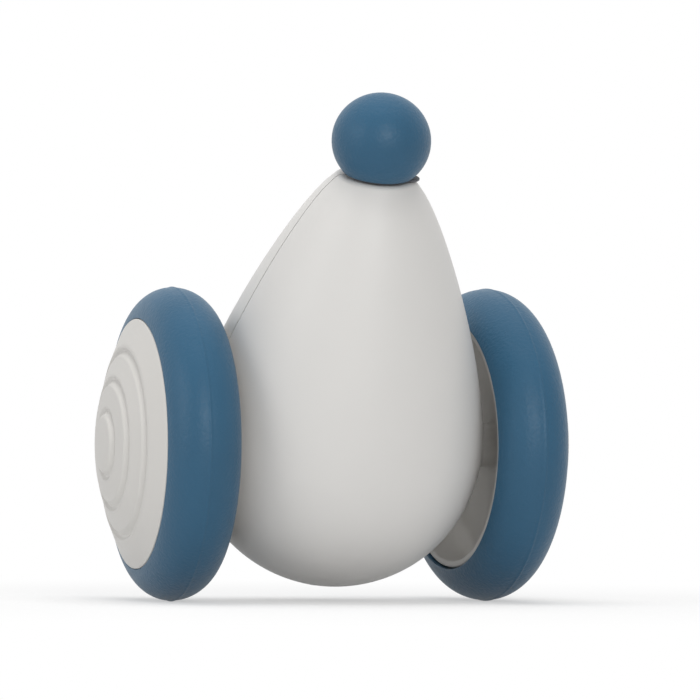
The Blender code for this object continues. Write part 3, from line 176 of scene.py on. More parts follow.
class MouseToyBodySizes(bpy.types.PropertyGroup):
    """Sizes of the egg-shaped body and of what sits in it."""

    axis_forward: length("Axis forward", "How far the body's axis passes in front of the axles", 0.0015)
    radius: length("Radius", "Largest radius of the body", 0.0281)
    belly: length("Belly", "Height of the largest radius above the axles", 0.0022)
    rear_length: length("Rear length", "From the axles to the rear pole", 0.0270)
    nose_length: length("Nose length", "From the axles to the nose rim", 0.0545)
    rim_radius: length("Rim radius", "Radius of the nose rim", 0.0087)
    rim_angle: angle("Rim angle", "Slope of the side at the nose rim", 40.0)
    seat_rise: length("Seat rise", "Height of the nose's flat seat above the rim, on the axis", 0.0016)
    tip_rise: length("Tip rise", "Height of the uncut tip above the rim", 0.0033)
    seat_tilt: angle("Seat tilt", "Backward tilt of the nose's seat", 8.0)
    seat_round: length("Seat rounding", "Rounding between the side and the nose's seat", 0.0007)
    wall: length("Wall", "Thickness of the shells", 0.0014)
    rear_pole: share("Rear pole", "Roundness of the rear pole", 0.46)
    rear_belly: share("Rear belly", "Fullness of the rear half", 0.66)
    nose_belly: share("Nose belly", "Fullness above the belly", 0.21)
    nose_tip: share("Nose tip", "Straightness below the nose rim", 0.22)
    parting_back: length("Parting back", "How far the parting line lies behind the axis", 0.0017)
    parting_gap: length("Parting gap", "Width of the fine gap between the shells", 0.00030)
    seam_round: length("Seam rounding", "Rounding of the shells' edges", 0.00016)
    ball_radius: length("Ball radius", "Radius of the nose ball across", 0.0094)
    ball_height: length("Ball half height", "Half height of the nose ball along its axis", 0.0091)
    ball_rise: length("Ball rise", "Height of the ball's centre above the nose's seat", 0.0072)
    ball_wall: length("Ball wall", "Thickness of the hollow ball", 0.0013)
    ball_round: length("Ball rounding", "Rounding at the ball's seat", 0.0005)
    washer_gap: length("Washer gap", "Gap under and over the washer", 0.0001)
    washer_thickness: length("Washer thickness", "Thickness of the washer under the ball", 0.0004)
    washer_radius: length("Washer radius", "Radius of the washer", 0.0055)
    washer_edge: share("Washer edge", "Rounding of the washer as a share of its thickness", 0.3)
    tab_width: length("Tab width", "Width of the washer's tab", 0.0046)
    tab_reach: length("Tab reach", "Reach of the washer's tab from the axis", 0.0080)
    tab_turn: angle("Tab turn", "Turn of the washer's tab to the back", -12.0)
    stem_hole: length("Stem hole", "Radius of the stem's hole", 0.0025)
    spot_face: length("Spot face", "Radius of the flat under the stem's flange", 0.0051)


class MouseToyWheelSizes(bpy.types.PropertyGroup):
    """Sizes of the tyres, hubs and hub covers."""

    tyre_radius: length("Tyre radius", "Outer radius of the tyre", 0.02975)
    section_radius: length("Section radius", "Radius of the tyre's round section", 0.0077)
    outer_share: share("Outer share", "How full the section is on the wheel's outer side", 0.92)
    seam_height: length("Seam height", "Height of the mould line round the tread", 0.00014)
    seam_width: length("Seam width", "Width of the mould line round the tread", 0.00055)
    lip_radius: length("Lip radius", "Rounding of the tyre's lips", 0.00012)
    hub_radius: length("Hub radius", "Outer radius of the hub", 0.0235)
    half_width: length("Half width", "Half of the hub's width", 0.0070)
    wall: length("Hub wall", "Thickness of the hub's barrel", 0.0013)
    web_wall: length("Web wall", "Thickness of the hub's web", 0.0014)
    web_place: length("Web place", "Place of the web outside the wheel's middle plane", 0.0015)
    bowl_fillet: length("Bowl fillet", "Rounding in the corner of the hub's bowl", 0.0030)
    rib_height: length("Rib height", "Height of the rib that holds the tyre", 0.0008)
    rib_half_width: length("Rib half width", "Half of the rib's width", 0.0015)
    boss_radius: length("Boss radius", "Radius of the hub's boss", 0.0042)
    boss_height: length("Boss height", "Height of the boss on the web's outer face", 0.0015)
    boss_reach: length("Boss reach", "How far the boss reaches in from the wheel's middle plane", 0.0029)
    boss_fillet: length("Boss fillet", "Rounding at the foot of the boss", 0.0012)
    edge_round: length("Edge rounding", "Rounding of the hub's edges", 0.0004)
    fine_round: length("Fine rounding", "Rounding of bores and skirts", 0.0002)
    axle_bore: length("Axle bore", "Radius of the hub's bore", 0.0018)
    screw_bore: length("Screw bore", "Radius of the wheel screw's hole", 0.0011)
    dome_height: length("Dome height", "Height of the cover's dome", 0.0068)
    cover_radius: length("Cover radius", "Radius of the cover's rim", 0.0237)
    cover_wall: length("Cover wall", "Thickness of the cover", 0.0013)
    cover_edge: length("Cover edge", "Thickness of the cover's rim", 0.0007)
    cover_round: length("Cover rounding", "Rounding of the cover's rim", 0.00015)
    skirt_depth: length("Skirt depth", "Depth of the cover's skirt", 0.0016)
    skirt_wall: length("Skirt wall", "Thickness of the cover's skirt", 0.0012)
    crease_outer: length("Outer crease", "Radius of the outer crease", 0.0176)
    crease_middle: length("Middle crease", "Radius of the middle crease", 0.0121)
    crease_inner: length("Inner crease", "Radius of the inner crease", 0.0063)
    crease_depth: length("Crease depth", "Depth of each crease below the dome", 0.0009)
    crease_run: length("Crease run", "Width of the outer side of each crease", 0.0008)
    crease_share: share("Crease share", "Part of the depth that lies in the crease's outer side", 0.45)
    step_rise: length("Step rise", "Rise of each rounded step", 0.0011)
    step_run: length("Step run", "Width of each rounded step", 0.0013)
    fit_gap: length("Fit gap", "Gap between pieces that seat on each other", 0.0003)


class MouseToyBackSizes(bpy.types.PropertyGroup):
    """Sizes and places of what shows on the back shell."""

    board_face: length("Board face", "Place of the board's outer face behind the body's axis", 0.0191)
    board_thickness: length("Board thickness", "Thickness of the circuit board", 0.0012)
    board_screw_across: length("Board screws across", "Half distance between the board's screws", 0.0062)
    board_screw_along: length("Board screws along", "Place of the board's screws along the body", 0.0120)
    board_boss: length("Board boss", "Radius of the bosses over the board", 0.0018)
    button_along: length("Button place", "Place of the button along the body", 0.0031)
    button_radius: length("Button radius", "Radius of the button", 0.0040)
    button_clearance: length("Button clearance", "Gap round the button", 0.0004)
    button_foot: length("Button foot", "Height of the button's foot above the board's face", 0.0031)
    button_flange: length("Button flange", "Radius of the button's flange", 0.0050)
    button_stem: length("Button stem", "Radius of the button's stem", 0.0014)
    button_dish: length("Button dish", "Depth of the finger dish", 0.00035)
    dish_share: share("Dish share", "Width of the finger dish as a share of the button", 0.8)
    button_proud: length("Button stand-out", "How far the button stands out of the shell", 0.0005)
    button_guide: length("Button guide", "Depth of the button's guide inside the wall", 0.0010)
    button_flange_height: length("Button flange height", "Thickness of the button's flange", 0.0008)
    edge_round: length("Edge rounding", "Rounding of the button's and the tail socket's edges", 0.0003)
    light_along: length("Light place", "Place of the light guide along the body", 0.0100)
    light_radius: length("Light radius", "Radius of the light guide", 0.0012)
    light_dome: length("Light dome", "Height of the light guide's dome", 0.0003)
    socket_along: length("Socket place", "Place of the charging socket along the body", 0.0160)
    socket_width: length("Socket width", "Width of the charging socket", 0.0090)
    socket_height: length("Socket height", "Height of the charging socket", 0.0032)
    socket_wall: length("Socket wall", "Thickness of the socket's shroud", 0.0005)
    socket_recess: length("Socket recess", "How far the socket and its tongue stand back", 0.0006)
    tongue_width: length("Tongue width", "Width of the socket's tongue", 0.0062)
    tongue_thickness: length("Tongue thickness", "Thickness of the socket's tongue", 0.0007)
    screw_upper_across: length("Upper screws across", "Half distance between the upper screws", 0.0125)
    screw_upper_along: length("Upper screws along", "Place of the upper screws along the body", 0.0200)
    screw_lower_across: length("Lower screws across", "Half distance between the lower screws", 0.0076)
    screw_lower_down: length("Lower screws down", "Place of the lower screws below the axles", 0.0222)
    screw_hole: length("Screw hole", "Radius of the screw holes", 0.0011)
    screw_well: length("Screw well", "Radius of the screw wells", 0.0018)
    screw_boss: length("Screw boss", "Radius of the screw bosses", 0.0024)
    screw_grip: length("Screw grip", "Thickness that each screw clamps", 0.0045)
    screw_reach: length("Screw reach", "Depth of each screw in the front shell", 0.0040)
    bush_bore: length("Bush bore", "Radius of the bush's hole in the shell", 0.0030)
    bush_recess: length("Bush recess", "Radius of the recess for the bush's flange", 0.0039)
    bush_seat: length("Bush seat", "Place of that recess along the axle", 0.0275)
    shaft_boss: length("Shaft boss", "Radius of the boss round each bush", 0.0046)
    tail_radius: length("Tail socket radius", "Radius of the tail socket", 0.0022)
    tail_bore: length("Tail bore", "Radius of the tail socket's hole", 0.0012)
    tail_flange: length("Tail flange", "Radius of the tail socket's flange", 0.0036)
    tail_flange_height: length("Tail flange height", "Thickness of the tail socket's flange", 0.0010)
    tail_depth: length("Tail depth", "Length of the tail socket inside the body", 0.0060)


class MouseToyScrewSizes(bpy.types.PropertyGroup):
    """Sizes of the three kinds of screws."""

    shell_head: length("Shell screw head", "Radius of a shell screw's head", 0.0015)
    shell_head_height: length("Shell screw head height", "Height of a shell screw's head", 0.0012)
    shell_shank: length("Shell screw shank", "Radius of a shell screw's shank", 0.0008)
    board_head: length("Board screw head", "Radius of a board screw's head", 0.0015)
    board_head_height: length("Board screw head height", "Height of a board screw's head", 0.0008)
    board_shank: length("Board screw shank", "Radius of a board screw's shank", 0.0007)
    board_reach: length("Board screw reach", "Depth of a board screw in its boss", 0.0030)
    wheel_head: length("Wheel screw head", "Radius of a wheel screw's head", 0.0022)
    wheel_head_height: length("Wheel screw head height", "Height of a wheel screw's head", 0.0012)
    wheel_shank: length("Wheel screw shank", "Radius of a wheel screw's shank", 0.0008)
    wheel_reach: length("Wheel screw reach", "Depth of a wheel screw in its axle", 0.0040)
    recess_width: length("Recess width", "Width of the cross recess", 0.0004)
    recess_share: share("Recess share", "Depth of the cross recess as a share of the head", 0.5)


class MouseToyStage(bpy.types.PropertyGroup):
    """The lights, the floor and the camera."""

    top_power: amount("Top light", "Power of the light above", 5.0)
    front_power: amount("Front light", "Power of the light in front", 3.3)
    left_power: amount("Left light", "Power of the light on the left", 2.0)
    glow: amount("Glow", "Strength of the white surroundings", 0.31)
    floor_near: length("Floor near", "Where the floor begins to run out to white", 0.05)
    floor_far: length("Floor far", "Where the floor is white", 0.17)
    floor_low: share("Floor share", "How white the floor is under the toy", 0.5)
    azimuth: angle("Azimuth", "Turn of the camera to the right of the front", -19.0)
    elevation: angle("Elevation", "Height of the camera above the horizon", 0.5)
    roll: angle("Roll", "Roll of the camera", 0.45)
    lens: amount("Lens", "Focal length in millimetres", 675.0)
    distance: length("Distance", "Distance of the camera", 2.5)
    aim_right: length("Aim right", "How far the picture's middle lies right of the axles' middle", 0.00343)
    aim_up: length("Aim up", "How far the picture's middle lies above the axles", 0.0180)


class MouseToyColours(bpy.types.PropertyGroup):
    """Colours of the finishes."""

    shell: colour("Shell", "Warm light grey of the body", (0.66, 0.648, 0.628))
    hub: colour("Hub", "Off-white of the hubs and covers", (0.608, 0.594, 0.569))
    rubber: colour("Rubber", "Blue of the tyres and the ball", (0.021, 0.089, 0.162))
    washer: colour("Washer", "Dark grey of the washer and the button", (0.085, 0.088, 0.098))
    gear: colour("Gear", "Natural white of the gears", (0.68, 0.67, 0.61))
    housing: colour("Housing", "Dark grey of the gear plates", (0.16, 0.16, 0.17))
    board: colour("Board", "Green of the circuit board", (0.02, 0.15, 0.06))
    cap: colour("Cap", "Black of the motor caps and the switch", (0.015, 0.015, 0.016))
    light: colour("Light", "Milky white of the light guide", (0.75, 0.80, 0.74))
    steel: colour("Steel", "Steel of the screws, pins, motors and axles", (0.56, 0.56, 0.57))
    bronze: colour("Bronze", "Bronze of the bushes", (0.52, 0.36, 0.17))
    foil: colour("Foil", "Foil of the cell", (0.62, 0.62, 0.64))
    floor: colour("Floor", "Pale studio floor", (0.84, 0.84, 0.84))


def sizes(kind):
    """One of the panel's groups of sizes."""
    return getattr(bpy.context.scene, "mouse_toy_" + kind)


# Places

def body_matrix():
    """The frame on the body's axis: local Z points to the nose and local Y to the back."""
    start = AXLE_CENTRE - Vector((0.0, sizes("body").axis_forward, 0.0))
    return Matrix.Translation(start) @ Matrix.Rotation(LEAN, 4, "X")


def nose_matrix():
    """The frame on the nose's tilted seat: local Z points out of the seat."""
    s = sizes("body")
    up = Matrix.Translation((0.0, 0.0, s.nose_length + s.seat_rise))
    return body_matrix() @ up @ Matrix.Rotation(-s.seat_tilt, 4, "X")


def back_matrix():
    """The frame that faces back from the body's axis: local Z points to the back."""
    return body_matrix() @ Matrix.Rotation(-math.pi / 2, 4, "X")


def wheel_matrix(hand, out=0.0):
    """The frame on an axle: local Z points out of the wheel and local Y points up."""
    outward = Vector((hand * RIGHT_OUTWARD.x, RIGHT_OUTWARD.y, 0.0))
    upward = Vector((0.0, 0.0, 1.0))
    turn = Matrix((upward.cross(outward), upward, outward)).transposed().to_4x4()
    return Matrix.Translation(AXLE_CENTRE + outward * out) @ turn


# Outlines

def bezier(start, first, second, end, count):
    """Points of a cubic curve, without its last one."""
    points = []
    for index in range(count):
        t = index / count
        weights = ((1 - t) ** 3, 3 * t * (1 - t) ** 2, 3 * t * t * (1 - t), t ** 3)
        corners = (start, first, second, end)
        point = [sum(w * c[axis] for w, c in zip(weights, corners)) for axis in (0, 1)]
        points.append(tuple(point))
    return points


def arc(centre, radii, start, end, count):
    """Points of an arc of an ellipse, both ends included."""
    turns = [start + (end - start) / count * index for index in range(count + 1)]
    return [
        (centre[0] + radii[0] * math.cos(turn), centre[1] + radii[1] * math.sin(turn))
        for turn in turns
    ]


def run(start, end, count, ease=lambda t: t):
    """Points on the way from start to end, without the first, whose rise follows ease."""
    points = []
    for index in range(1, count + 1):
        t = index / count
        across = start[0] + (end[0] - start[0]) * t
        points.append((across, start[1] + (end[1] - start[1]) * ease(t)))
    return points


def smooth(t):
    """A rise from 0 to 1 that starts and ends level."""
    return t * t * (3.0 - 2.0 * t)


def levelling(t):
    """A rise from 0 to 1 that ends level."""
    return 1.0 - (1.0 - t) ** 2


def rounded(points, closed=False, count=4):
    """An outline whose corners of (x, y, radius) become arcs."""
    result = []
    total = len(points)
    for index, point in enumerate(points):
        if len(point) == 2 or (not closed and index in (0, total - 1)):
            result.append(tuple(point[:2]))
            continue
        here = Vector(point[:2])
        before = Vector(points[index - 1][:2]) - here
        after = Vector(points[(index + 1) % total][:2]) - here
        half = before.angle(after) / 2
        reach = min(point[2] / math.tan(half), before.length * 0.49, after.length * 0.49)
        radius = reach * math.tan(half)
        inward = (before.normalized() + after.normalized()).normalized()
        centre = here + inward * (radius / math.sin(half))
        first = here + before.normalized() * reach - centre
        last = here + after.normalized() * reach - centre
        sweep = first.angle_signed(last)
        for step in range(count + 1):
            result.append(tuple(centre + Matrix.Rotation(-sweep * step / count, 2) @ first))
    return result


def body_side(rows, offset=0.0):
    """The body's side as (radius, height) from the nose rim to the rear pole, moved in by offset."""
    s = sizes("body")
    above = s.nose_length - s.belly
    below = s.rear_length + s.belly
    rim = (s.rim_radius, s.nose_length)
    belly = (s.radius, s.belly)
    pole = (0.0, -s.rear_length)
    tip = s.nose_tip * above
    rim_guide = (rim[0] + tip * math.sin(s.rim_angle), rim[1] - tip * math.cos(s.rim_angle))
    upper_guide = (s.radius, s.belly + s.nose_belly * above)
    lower_guide = (s.radius, s.belly - s.rear_belly * below)
    pole_guide = (s.rear_pole * s.radius, pole[1])
    side = bezier(rim, rim_guide, upper_guide, belly, rows)
    side += bezier(belly, lower_guide, pole_guide, pole, rows)
    side.append(pole)
    if not offset:
        return side
    moved = []
    for index, point in enumerate(side):
        run = Vector(side[min(index + 1, len(side) - 1)]) - Vector(side[max(index - 1, 0)])
        run.normalize()
        moved.append((max(point[0] + run.y * offset, 0.0), point[1] - run.x * offset))
    moved[-1] = (0.0, pole[1] + offset)
    return moved


def radius_at(side, height):
    """The side's radius at a height."""
    for upper, lower in zip(side, side[1:]):
        if lower[1] <= height <= upper[1]:
            return lower[0] + (upper[0] - lower[0]) * (height - lower[1]) / (upper[1] - lower[1])
    return 0.0


def height_at(side, radius):
    """The height at which the rear of the side comes in to a radius."""
    for lower, upper in zip(reversed(side), reversed(side[:-1])):
        if lower[0] <= radius <= upper[0]:
            return lower[1] + (upper[1] - lower[1]) * (radius - lower[0]) / (upper[0] - lower[0])
    return 0.0


def stadium(width, height, count=16):
    """An outline with two straight sides and round ends."""
    radius = height / 2
    reach = width / 2 - radius
    right = arc((reach, 0.0), (radius, radius), -math.pi / 2, math.pi / 2, count)
    left = arc((-reach, 0.0), (radius, radius), math.pi / 2, 3 * math.pi / 2, count)
    return right + left


# Meshes

def mesh_from(shape, name, matrix=None):
    """Ends a bmesh as a closed mesh whose faces point outwards."""
    bmesh.ops.remove_doubles(shape, verts=shape.verts, dist=MERGE_DISTANCE)
    bmesh.ops.recalc_face_normals(shape, faces=shape.faces)
    mesh = bpy.data.meshes.new(name)
    shape.to_mesh(mesh)
    shape.free()
    if matrix is not None:
        mesh.transform(matrix)
    return mesh


def lathe(name, profile, steps, matrix=None, closed=False):
    """A profile of (radius, height) points turned about the local Z axis."""
    shape = bmesh.new()
    rings = []
    for radius, height in profile:
        if radius < MERGE_DISTANCE:
            rings.append([shape.verts.new((0.0, 0.0, height))] * steps)
            continue
        ring = []
        for index in range(steps):
            turn = 2 * math.pi * index / steps
            point = (radius * math.cos(turn), radius * math.sin(turn), height)
            ring.append(shape.verts.new(point))
        rings.append(ring)
    pairs = list(zip(rings, rings[1:]))
    if closed:
        pairs.append((rings[-1], rings[0]))
    for upper, lower in pairs:
        for index in range(steps):
            after = (index + 1) % steps
            corners = [upper[index], upper[after], lower[after], lower[index]]
            kept = list(dict.fromkeys(corners))
            if len(kept) > 2:
                shape.faces.new(kept)
    return mesh_from(shape, name, matrix)


def prism(name, outline, start, end, matrix, bevel=0.0):
    """A flat outline raised along the local Z axis, with its two rims rounded."""
    shape = bmesh.new()
    base = shape.faces.new([shape.verts.new((x, y, start)) for x, y in outline])
    raised = bmesh.ops.extrude_face_region(shape, geom=[base])
    top = [item for item in raised["geom"] if isinstance(item, bmesh.types.BMVert)]
    bmesh.ops.translate(shape, vec=(0.0, 0.0, end - start), verts=top)
    bmesh.ops.recalc_face_normals(shape, faces=shape.faces)
    if bevel:
        rims = [
            edge for edge in shape.edges
            if abs(edge.verts[0].co.z - edge.verts[1].co.z) < MERGE_DISTANCE
        ]
        bmesh.ops.bevel(shape, geom=rims, offset=bevel, segments=3, profile=0.5, affect="EDGES")
    return mesh_from(shape, name, matrix)


def rod(name, radius, start, end, matrix, place=(0.0, 0.0)):
    """A plain round bar, used to carve and to join."""
    mesh = lathe(name, [(0.0, end), (radius, end), (radius, start), (0.0, start)], ROD_STEPS)
    mesh.transform(matrix @ Matrix.Translation((place[0], place[1], 0.0)))
    return mesh


def carve(mesh, others, operation):
    """Joins, cuts or clips a mesh with some others, and uses them all up."""
    base = bpy.data.objects.new(mesh.name, mesh)
    bpy.context.scene.collection.objects.link(base)
    group = bpy.data.collections.new(mesh.name + "_tools")
    bpy.context.scene.collection.children.link(group)
    tools = []
    for other in others:
        tool = bpy.data.objects.new(other.name, other)
        group.objects.link(tool)
        tools.append(tool)
    step = base.modifiers.new("carve", "BOOLEAN")
    step.operation = operation
    step.operand_type = "COLLECTION"
    step.collection = group
    step.solver = "EXACT"
    result = evaluated(base)
    name = mesh.name
    for item in [base] + tools:
        data = item.data
        bpy.data.objects.remove(item, do_unlink=True)
        bpy.data.meshes.remove(data)
    bpy.data.collections.remove(group)
    if not result.polygons:
        raise RuntimeError(name + " came out empty")
    result.name = name
    return result


def evaluated(item):
    """The mesh of an object with its modifiers applied."""
    graph = bpy.context.evaluated_depsgraph_get()
    graph.update()
    return bpy.data.meshes.new_from_object(item.evaluated_get(graph), depsgraph=graph)


def softened(mesh, width, angle=50.0, segments=2):
    """The mesh with its sharp edges rounded."""
    item = bpy.data.objects.new(mesh.name, mesh)
    bpy.context.scene.collection.objects.link(item)
    bevel = item.modifiers.new("edges", "BEVEL")
    bevel.width = width
    bevel.segments = segments
    bevel.limit_method = "ANGLE"
    bevel.angle_limit = math.radians(angle)
    bevel.use_clamp_overlap = True
    result = evaluated(item)
    name = mesh.name
    bpy.data.objects.remove(item, do_unlink=True)
    bpy.data.meshes.remove(mesh)
    result.name = name
    return result


def piece(name, mesh, body, finish, replaced=(), sharp=USUAL_EDGES):
    """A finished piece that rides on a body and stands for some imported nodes."""
    old = bpy.data.objects.get(name)
    if old is not None:
        bpy.data.objects.remove(old, do_unlink=True)
    mesh.name = name
    mesh.materials.clear()
    mesh.materials.append(finishes()[finish])
    mesh.shade_smooth()
    mesh.set_sharp_from_angle(angle=math.radians(sharp))
    item = bpy.data.objects.new(name, mesh)
    bpy.context.scene.collection.objects.link(item)
    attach(item, body)
    if replaced:
        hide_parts(*replaced)


# Finishes

def new_finish(name):
    """A fresh node material with its nodes, links and shader, in place of an old one of its name."""
    old = bpy.data.materials.get(name)
    if old is not None:
        bpy.data.materials.remove(old)
    made = bpy.data.materials.new(name)
    made.use_nodes = True
    return made, made.node_tree.nodes, made.node_tree.links, made.node_tree.nodes["Principled BSDF"]


def noise(nodes, links, scale, detail=2.0, stretch=(1.0, 1.0, 1.0)):
    """A noise pattern on the object's own coordinates, in turns to the metre."""
    place = nodes.new("ShaderNodeTexCoord")
    mapping = nodes.new("ShaderNodeMapping")
    mapping.inputs["Scale"].default_value = stretch
    links.new(place.outputs["Object"], mapping.inputs["Vector"])
    texture = nodes.new("ShaderNodeTexNoise")
    texture.inputs["Scale"].default_value = scale
    texture.inputs["Detail"].default_value = detail
    links.new(mapping.outputs["Vector"], texture.inputs["Vector"])
    return texture.outputs["Fac"]


def ramp(nodes, links, source, low, high):
    """A value spread between two others."""
    spread = nodes.new("ShaderNodeMapRange")
    spread.inputs["From Min"].default_value = NOISE_LOW
    spread.inputs["From Max"].default_value = NOISE_HIGH
    spread.inputs["To Min"].default_value = low
    spread.inputs["To Max"].default_value = high
    links.new(source, spread.inputs["Value"])
    return spread.outputs["Result"]


def blend_colours(nodes, links, source, first, second):
    """A colour between two others."""
    mix = nodes.new("ShaderNodeMix")
    mix.data_type = "RGBA"
    mix.inputs["A"].default_value = (*first, 1.0)
    mix.inputs["B"].default_value = (*second, 1.0)
    links.new(source, mix.inputs["Factor"])
    return mix.outputs["Result"]


def moulded(name, tint, roughness, grain, depth, mottle=0.04, sheen=0.0, specular=0.5):
    """Moulded plastic or rubber: a fine grain, a slight change of shade and of gloss."""
    made, nodes, links, shader = new_finish(name)
    broad = noise(nodes, links, MOTTLE_SCALE, 3.0)
    darker = [channel * (1.0 - mottle) for channel in tint]
    lighter = [min(channel * (1.0 + mottle), 1.0) for channel in tint]
    links.new(blend_colours(nodes, links, broad, darker, lighter), shader.inputs["Base Color"])
    fine = noise(nodes, links, grain)
    spread = MOULDED_GLOSS_SPREAD
    gloss = ramp(nodes, links, fine, roughness - spread, roughness + spread)
    links.new(gloss, shader.inputs["Roughness"])
    bump = nodes.new("ShaderNodeBump")
    bump.inputs["Strength"].default_value = 1.0
    bump.inputs["Distance"].default_value = depth
    links.new(fine, bump.inputs["Height"])
    links.new(bump.outputs["Normal"], shader.inputs["Normal"])
    shader.inputs["Specular IOR Level"].default_value = specular
    shader.inputs["Sheen Weight"].default_value = sheen
    shader.inputs["Sheen Roughness"].default_value = 0.5
    return made


def metal(name, tint, roughness, stretch=(1.0, 1.0, 1.0), grain=6000.0):
    """Metal with a drawn or turned grain."""
    made, nodes, links, shader = new_finish(name)
    streaks = noise(nodes, links, grain, stretch=stretch)
    darker = [channel * STREAK_SHADE for channel in tint]
    links.new(blend_colours(nodes, links, streaks, darker, tint), shader.inputs["Base Color"])
    spread = METAL_GLOSS_SPREAD
    gloss = ramp(nodes, links, streaks, roughness - spread, roughness + spread)
    links.new(gloss, shader.inputs["Roughness"])
    shader.inputs["Metallic"].default_value = 1.0
    return made


def circuit(name, tint):
    """Board lacquer with paler tracks."""
    made, nodes, links, shader = new_finish(name)
    place = nodes.new("ShaderNodeTexCoord")
    mapping = nodes.new("ShaderNodeMapping")
    mapping.inputs["Rotation"].default_value = (LEAN, 0.0, 0.0)
    mapping.inputs["Scale"].default_value = (TRACK_SCALE, TRACK_SCALE, TRACK_SCALE)
    links.new(place.outputs["Object"], mapping.inputs["Vector"])
    tracks = nodes.new("ShaderNodeTexVoronoi")
    tracks.distance = "CHEBYCHEV"
    tracks.inputs["Scale"].default_value = 1.0
    links.new(mapping.outputs["Vector"], tracks.inputs["Vector"])
    lighter = [min(channel * TRACK_SHADE, 1.0) for channel in tint]
    shade = ramp(nodes, links, tracks.outputs["Distance"], 0.0, 1.0)
    links.new(blend_colours(nodes, links, shade, tint, lighter), shader.inputs["Base Color"])
    shader.inputs["Roughness"].default_value = 0.35
    return made


def finishes():
    """Every finish of the toy by its name."""
    if bpy.data.materials.get("shell_plastic") is None:
        c = sizes("colours")
        moulded("shell_plastic", c.shell, roughness=0.46, grain=3800.0, depth=0.000012,
                mottle=0.012, specular=0.42)
        moulded("hub_plastic", c.hub, roughness=0.52, grain=3200.0, depth=0.000016,
                mottle=0.015, specular=0.38)
        moulded("blue_rubber", c.rubber, roughness=0.45, grain=1700.0, depth=0.00010,
                mottle=0.07, sheen=0.05, specular=0.32)
        moulded("washer_rubber", c.washer, roughness=0.6, grain=3000.0, depth=0.00002)
        moulded("button_plastic", c.washer, roughness=0.4, grain=3800.0, depth=0.00001)
        moulded("gear_plastic", c.gear, roughness=0.4, grain=3000.0, depth=0.00001)
        moulded("housing_plastic", c.housing, roughness=0.5, grain=2500.0, depth=0.00002)
        moulded("cap_plastic", c.cap, roughness=0.45, grain=3000.0, depth=0.00001)
        moulded("light_plastic", c.light, roughness=0.2, grain=2000.0, depth=0.000004)
        metal("steel", c.steel, roughness=0.32, stretch=DRAWN_STRETCH)
        metal("bronze", c.bronze, roughness=0.4)
        metal("foil", c.foil, roughness=0.38, grain=700.0)
        circuit("board_lacquer", c.board)
    return bpy.data.materials


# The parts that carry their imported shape, with their finishes
CARRIED = {
    "nose_stem": "housing_plastic",
    "battery": "foil",
    "circuit_board": "board_lacquer",
    "touch_switch": "cap_plastic",
}
CARRIED_ON_BOTH_SIDES = {
    "axle": "steel",
    "bush": "bronze",
    "output_gear": "gear_plastic",
    "idler_gear": "gear_plastic",
    "idler_pin": "steel",
    "motor_pinion": "steel",
    "motor_can": "steel",
    "motor_cap": "cap_plastic",
    "gear_plate": "housing_plastic",
    "gear_cover": "housing_plastic",
}


def shell_profile():
    """The closed outline of the hollow body, with a pilot hole in its tip and its tail hole."""
    s = sizes("body")
    pilot = s.stem_hole / 2
    tail = sizes("back").tail_radius + sizes("wheel").fit_gap
    side = body_side(SIDE_ROWS)
    inside = body_side(INSIDE_ROWS, s.wall)
    ceiling = s.nose_length - s.wall
    tip = s.nose_length + s.tip_rise
    profile = [(tail, height_at(inside, tail))]
    profile += [p for p in reversed(inside) if p[0] > tail and p[1] < ceiling - s.wall]
    profile += [(radius_at(inside, ceiling), ceiling), (pilot, ceiling), (pilot, tip)]
    profile.append((s.rim_radius - s.tip_rise * math.tan(s.rim_angle), tip))
    profile += [p for p in side if p[0] > tail and p[1] < s.nose_length - 2 * s.seat_round]
    profile.append((tail, height_at(side, tail)))
    return profile


def shell_blank():
    """The whole hollow body with the nose's seat, its stem hole and the flat under it."""
    s = sizes("body")
    place = nose_matrix()
    reach = 2 * s.rim_radius
    square = [(-reach, -reach), (reach, -reach), (reach, reach), (-reach, reach)]
    above = prism("above", square, 0.0, reach, place)
    low = -4 * s.wall
    profile = [
        (0.0, s.wall), (s.stem_hole, s.wall), (s.stem_hole, -s.wall),
        (s.spot_face, -s.wall), (s.spot_face, low), (0.0, low),
    ]
    blank = lathe("blank", shell_profile(), BODY_STEPS, body_matrix(), closed=True)
    blank = carve(blank, [above, lathe("hole", profile, HOLE_STEPS, place)], "DIFFERENCE")
    shape = bmesh.new()
    shape.from_mesh(blank)
    to_seat = place.inverted()

    def on_rim(vertex):
        point = to_seat @ vertex.co
        return abs(point.z) < MERGE_DISTANCE and point.xy.length > s.spot_face

    rim = [edge for edge in shape.edges if all(on_rim(vertex) for vertex in edge.verts)]
    bmesh.ops.bevel(shape, geom=rim, offset=s.seat_round, segments=5, profile=0.5, affect="EDGES")
    shape.to_mesh(blank)
    shape.free()
    return blank


def half_block(side):
    """A block over the half of the body in front of (-1) or behind (1) the parting plane."""
    s = sizes("body")
    reach = s.nose_length + s.radius
    face = s.parting_back - side * s.parting_gap / 2
    shape = bmesh.new()
    bmesh.ops.create_cube(shape, size=2 * reach)
    bmesh.ops.translate(shape, vec=(0.0, face + side * reach, 0.0), verts=shape.verts)
    return mesh_from(shape, "half_block", body_matrix())


def screw_places():
    """The shell screws across and along the back."""
    b = sizes("back")
    upper = [(hand * b.screw_upper_across, -b.screw_upper_along) for hand in SIDES.values()]
    lower = [(hand * b.screw_lower_across, b.screw_lower_down) for hand in SIDES.values()]
    return upper + lower


def boss(core, radius, start, end, matrix, place=(0.0, 0.0)):
    """A round boss that ends inside the shell's wall."""
    return carve(rod("boss", radius, start, end, matrix, place), [core.copy()], "INTERSECT")


def shell_core():
    """A solid egg that ends half way into the wall."""
    side = body_side(CORE_ROWS, sizes("body").wall / 2)
    return lathe("core", [(0.0, side[0][1])] + side, CORE_STEPS, body_matrix())


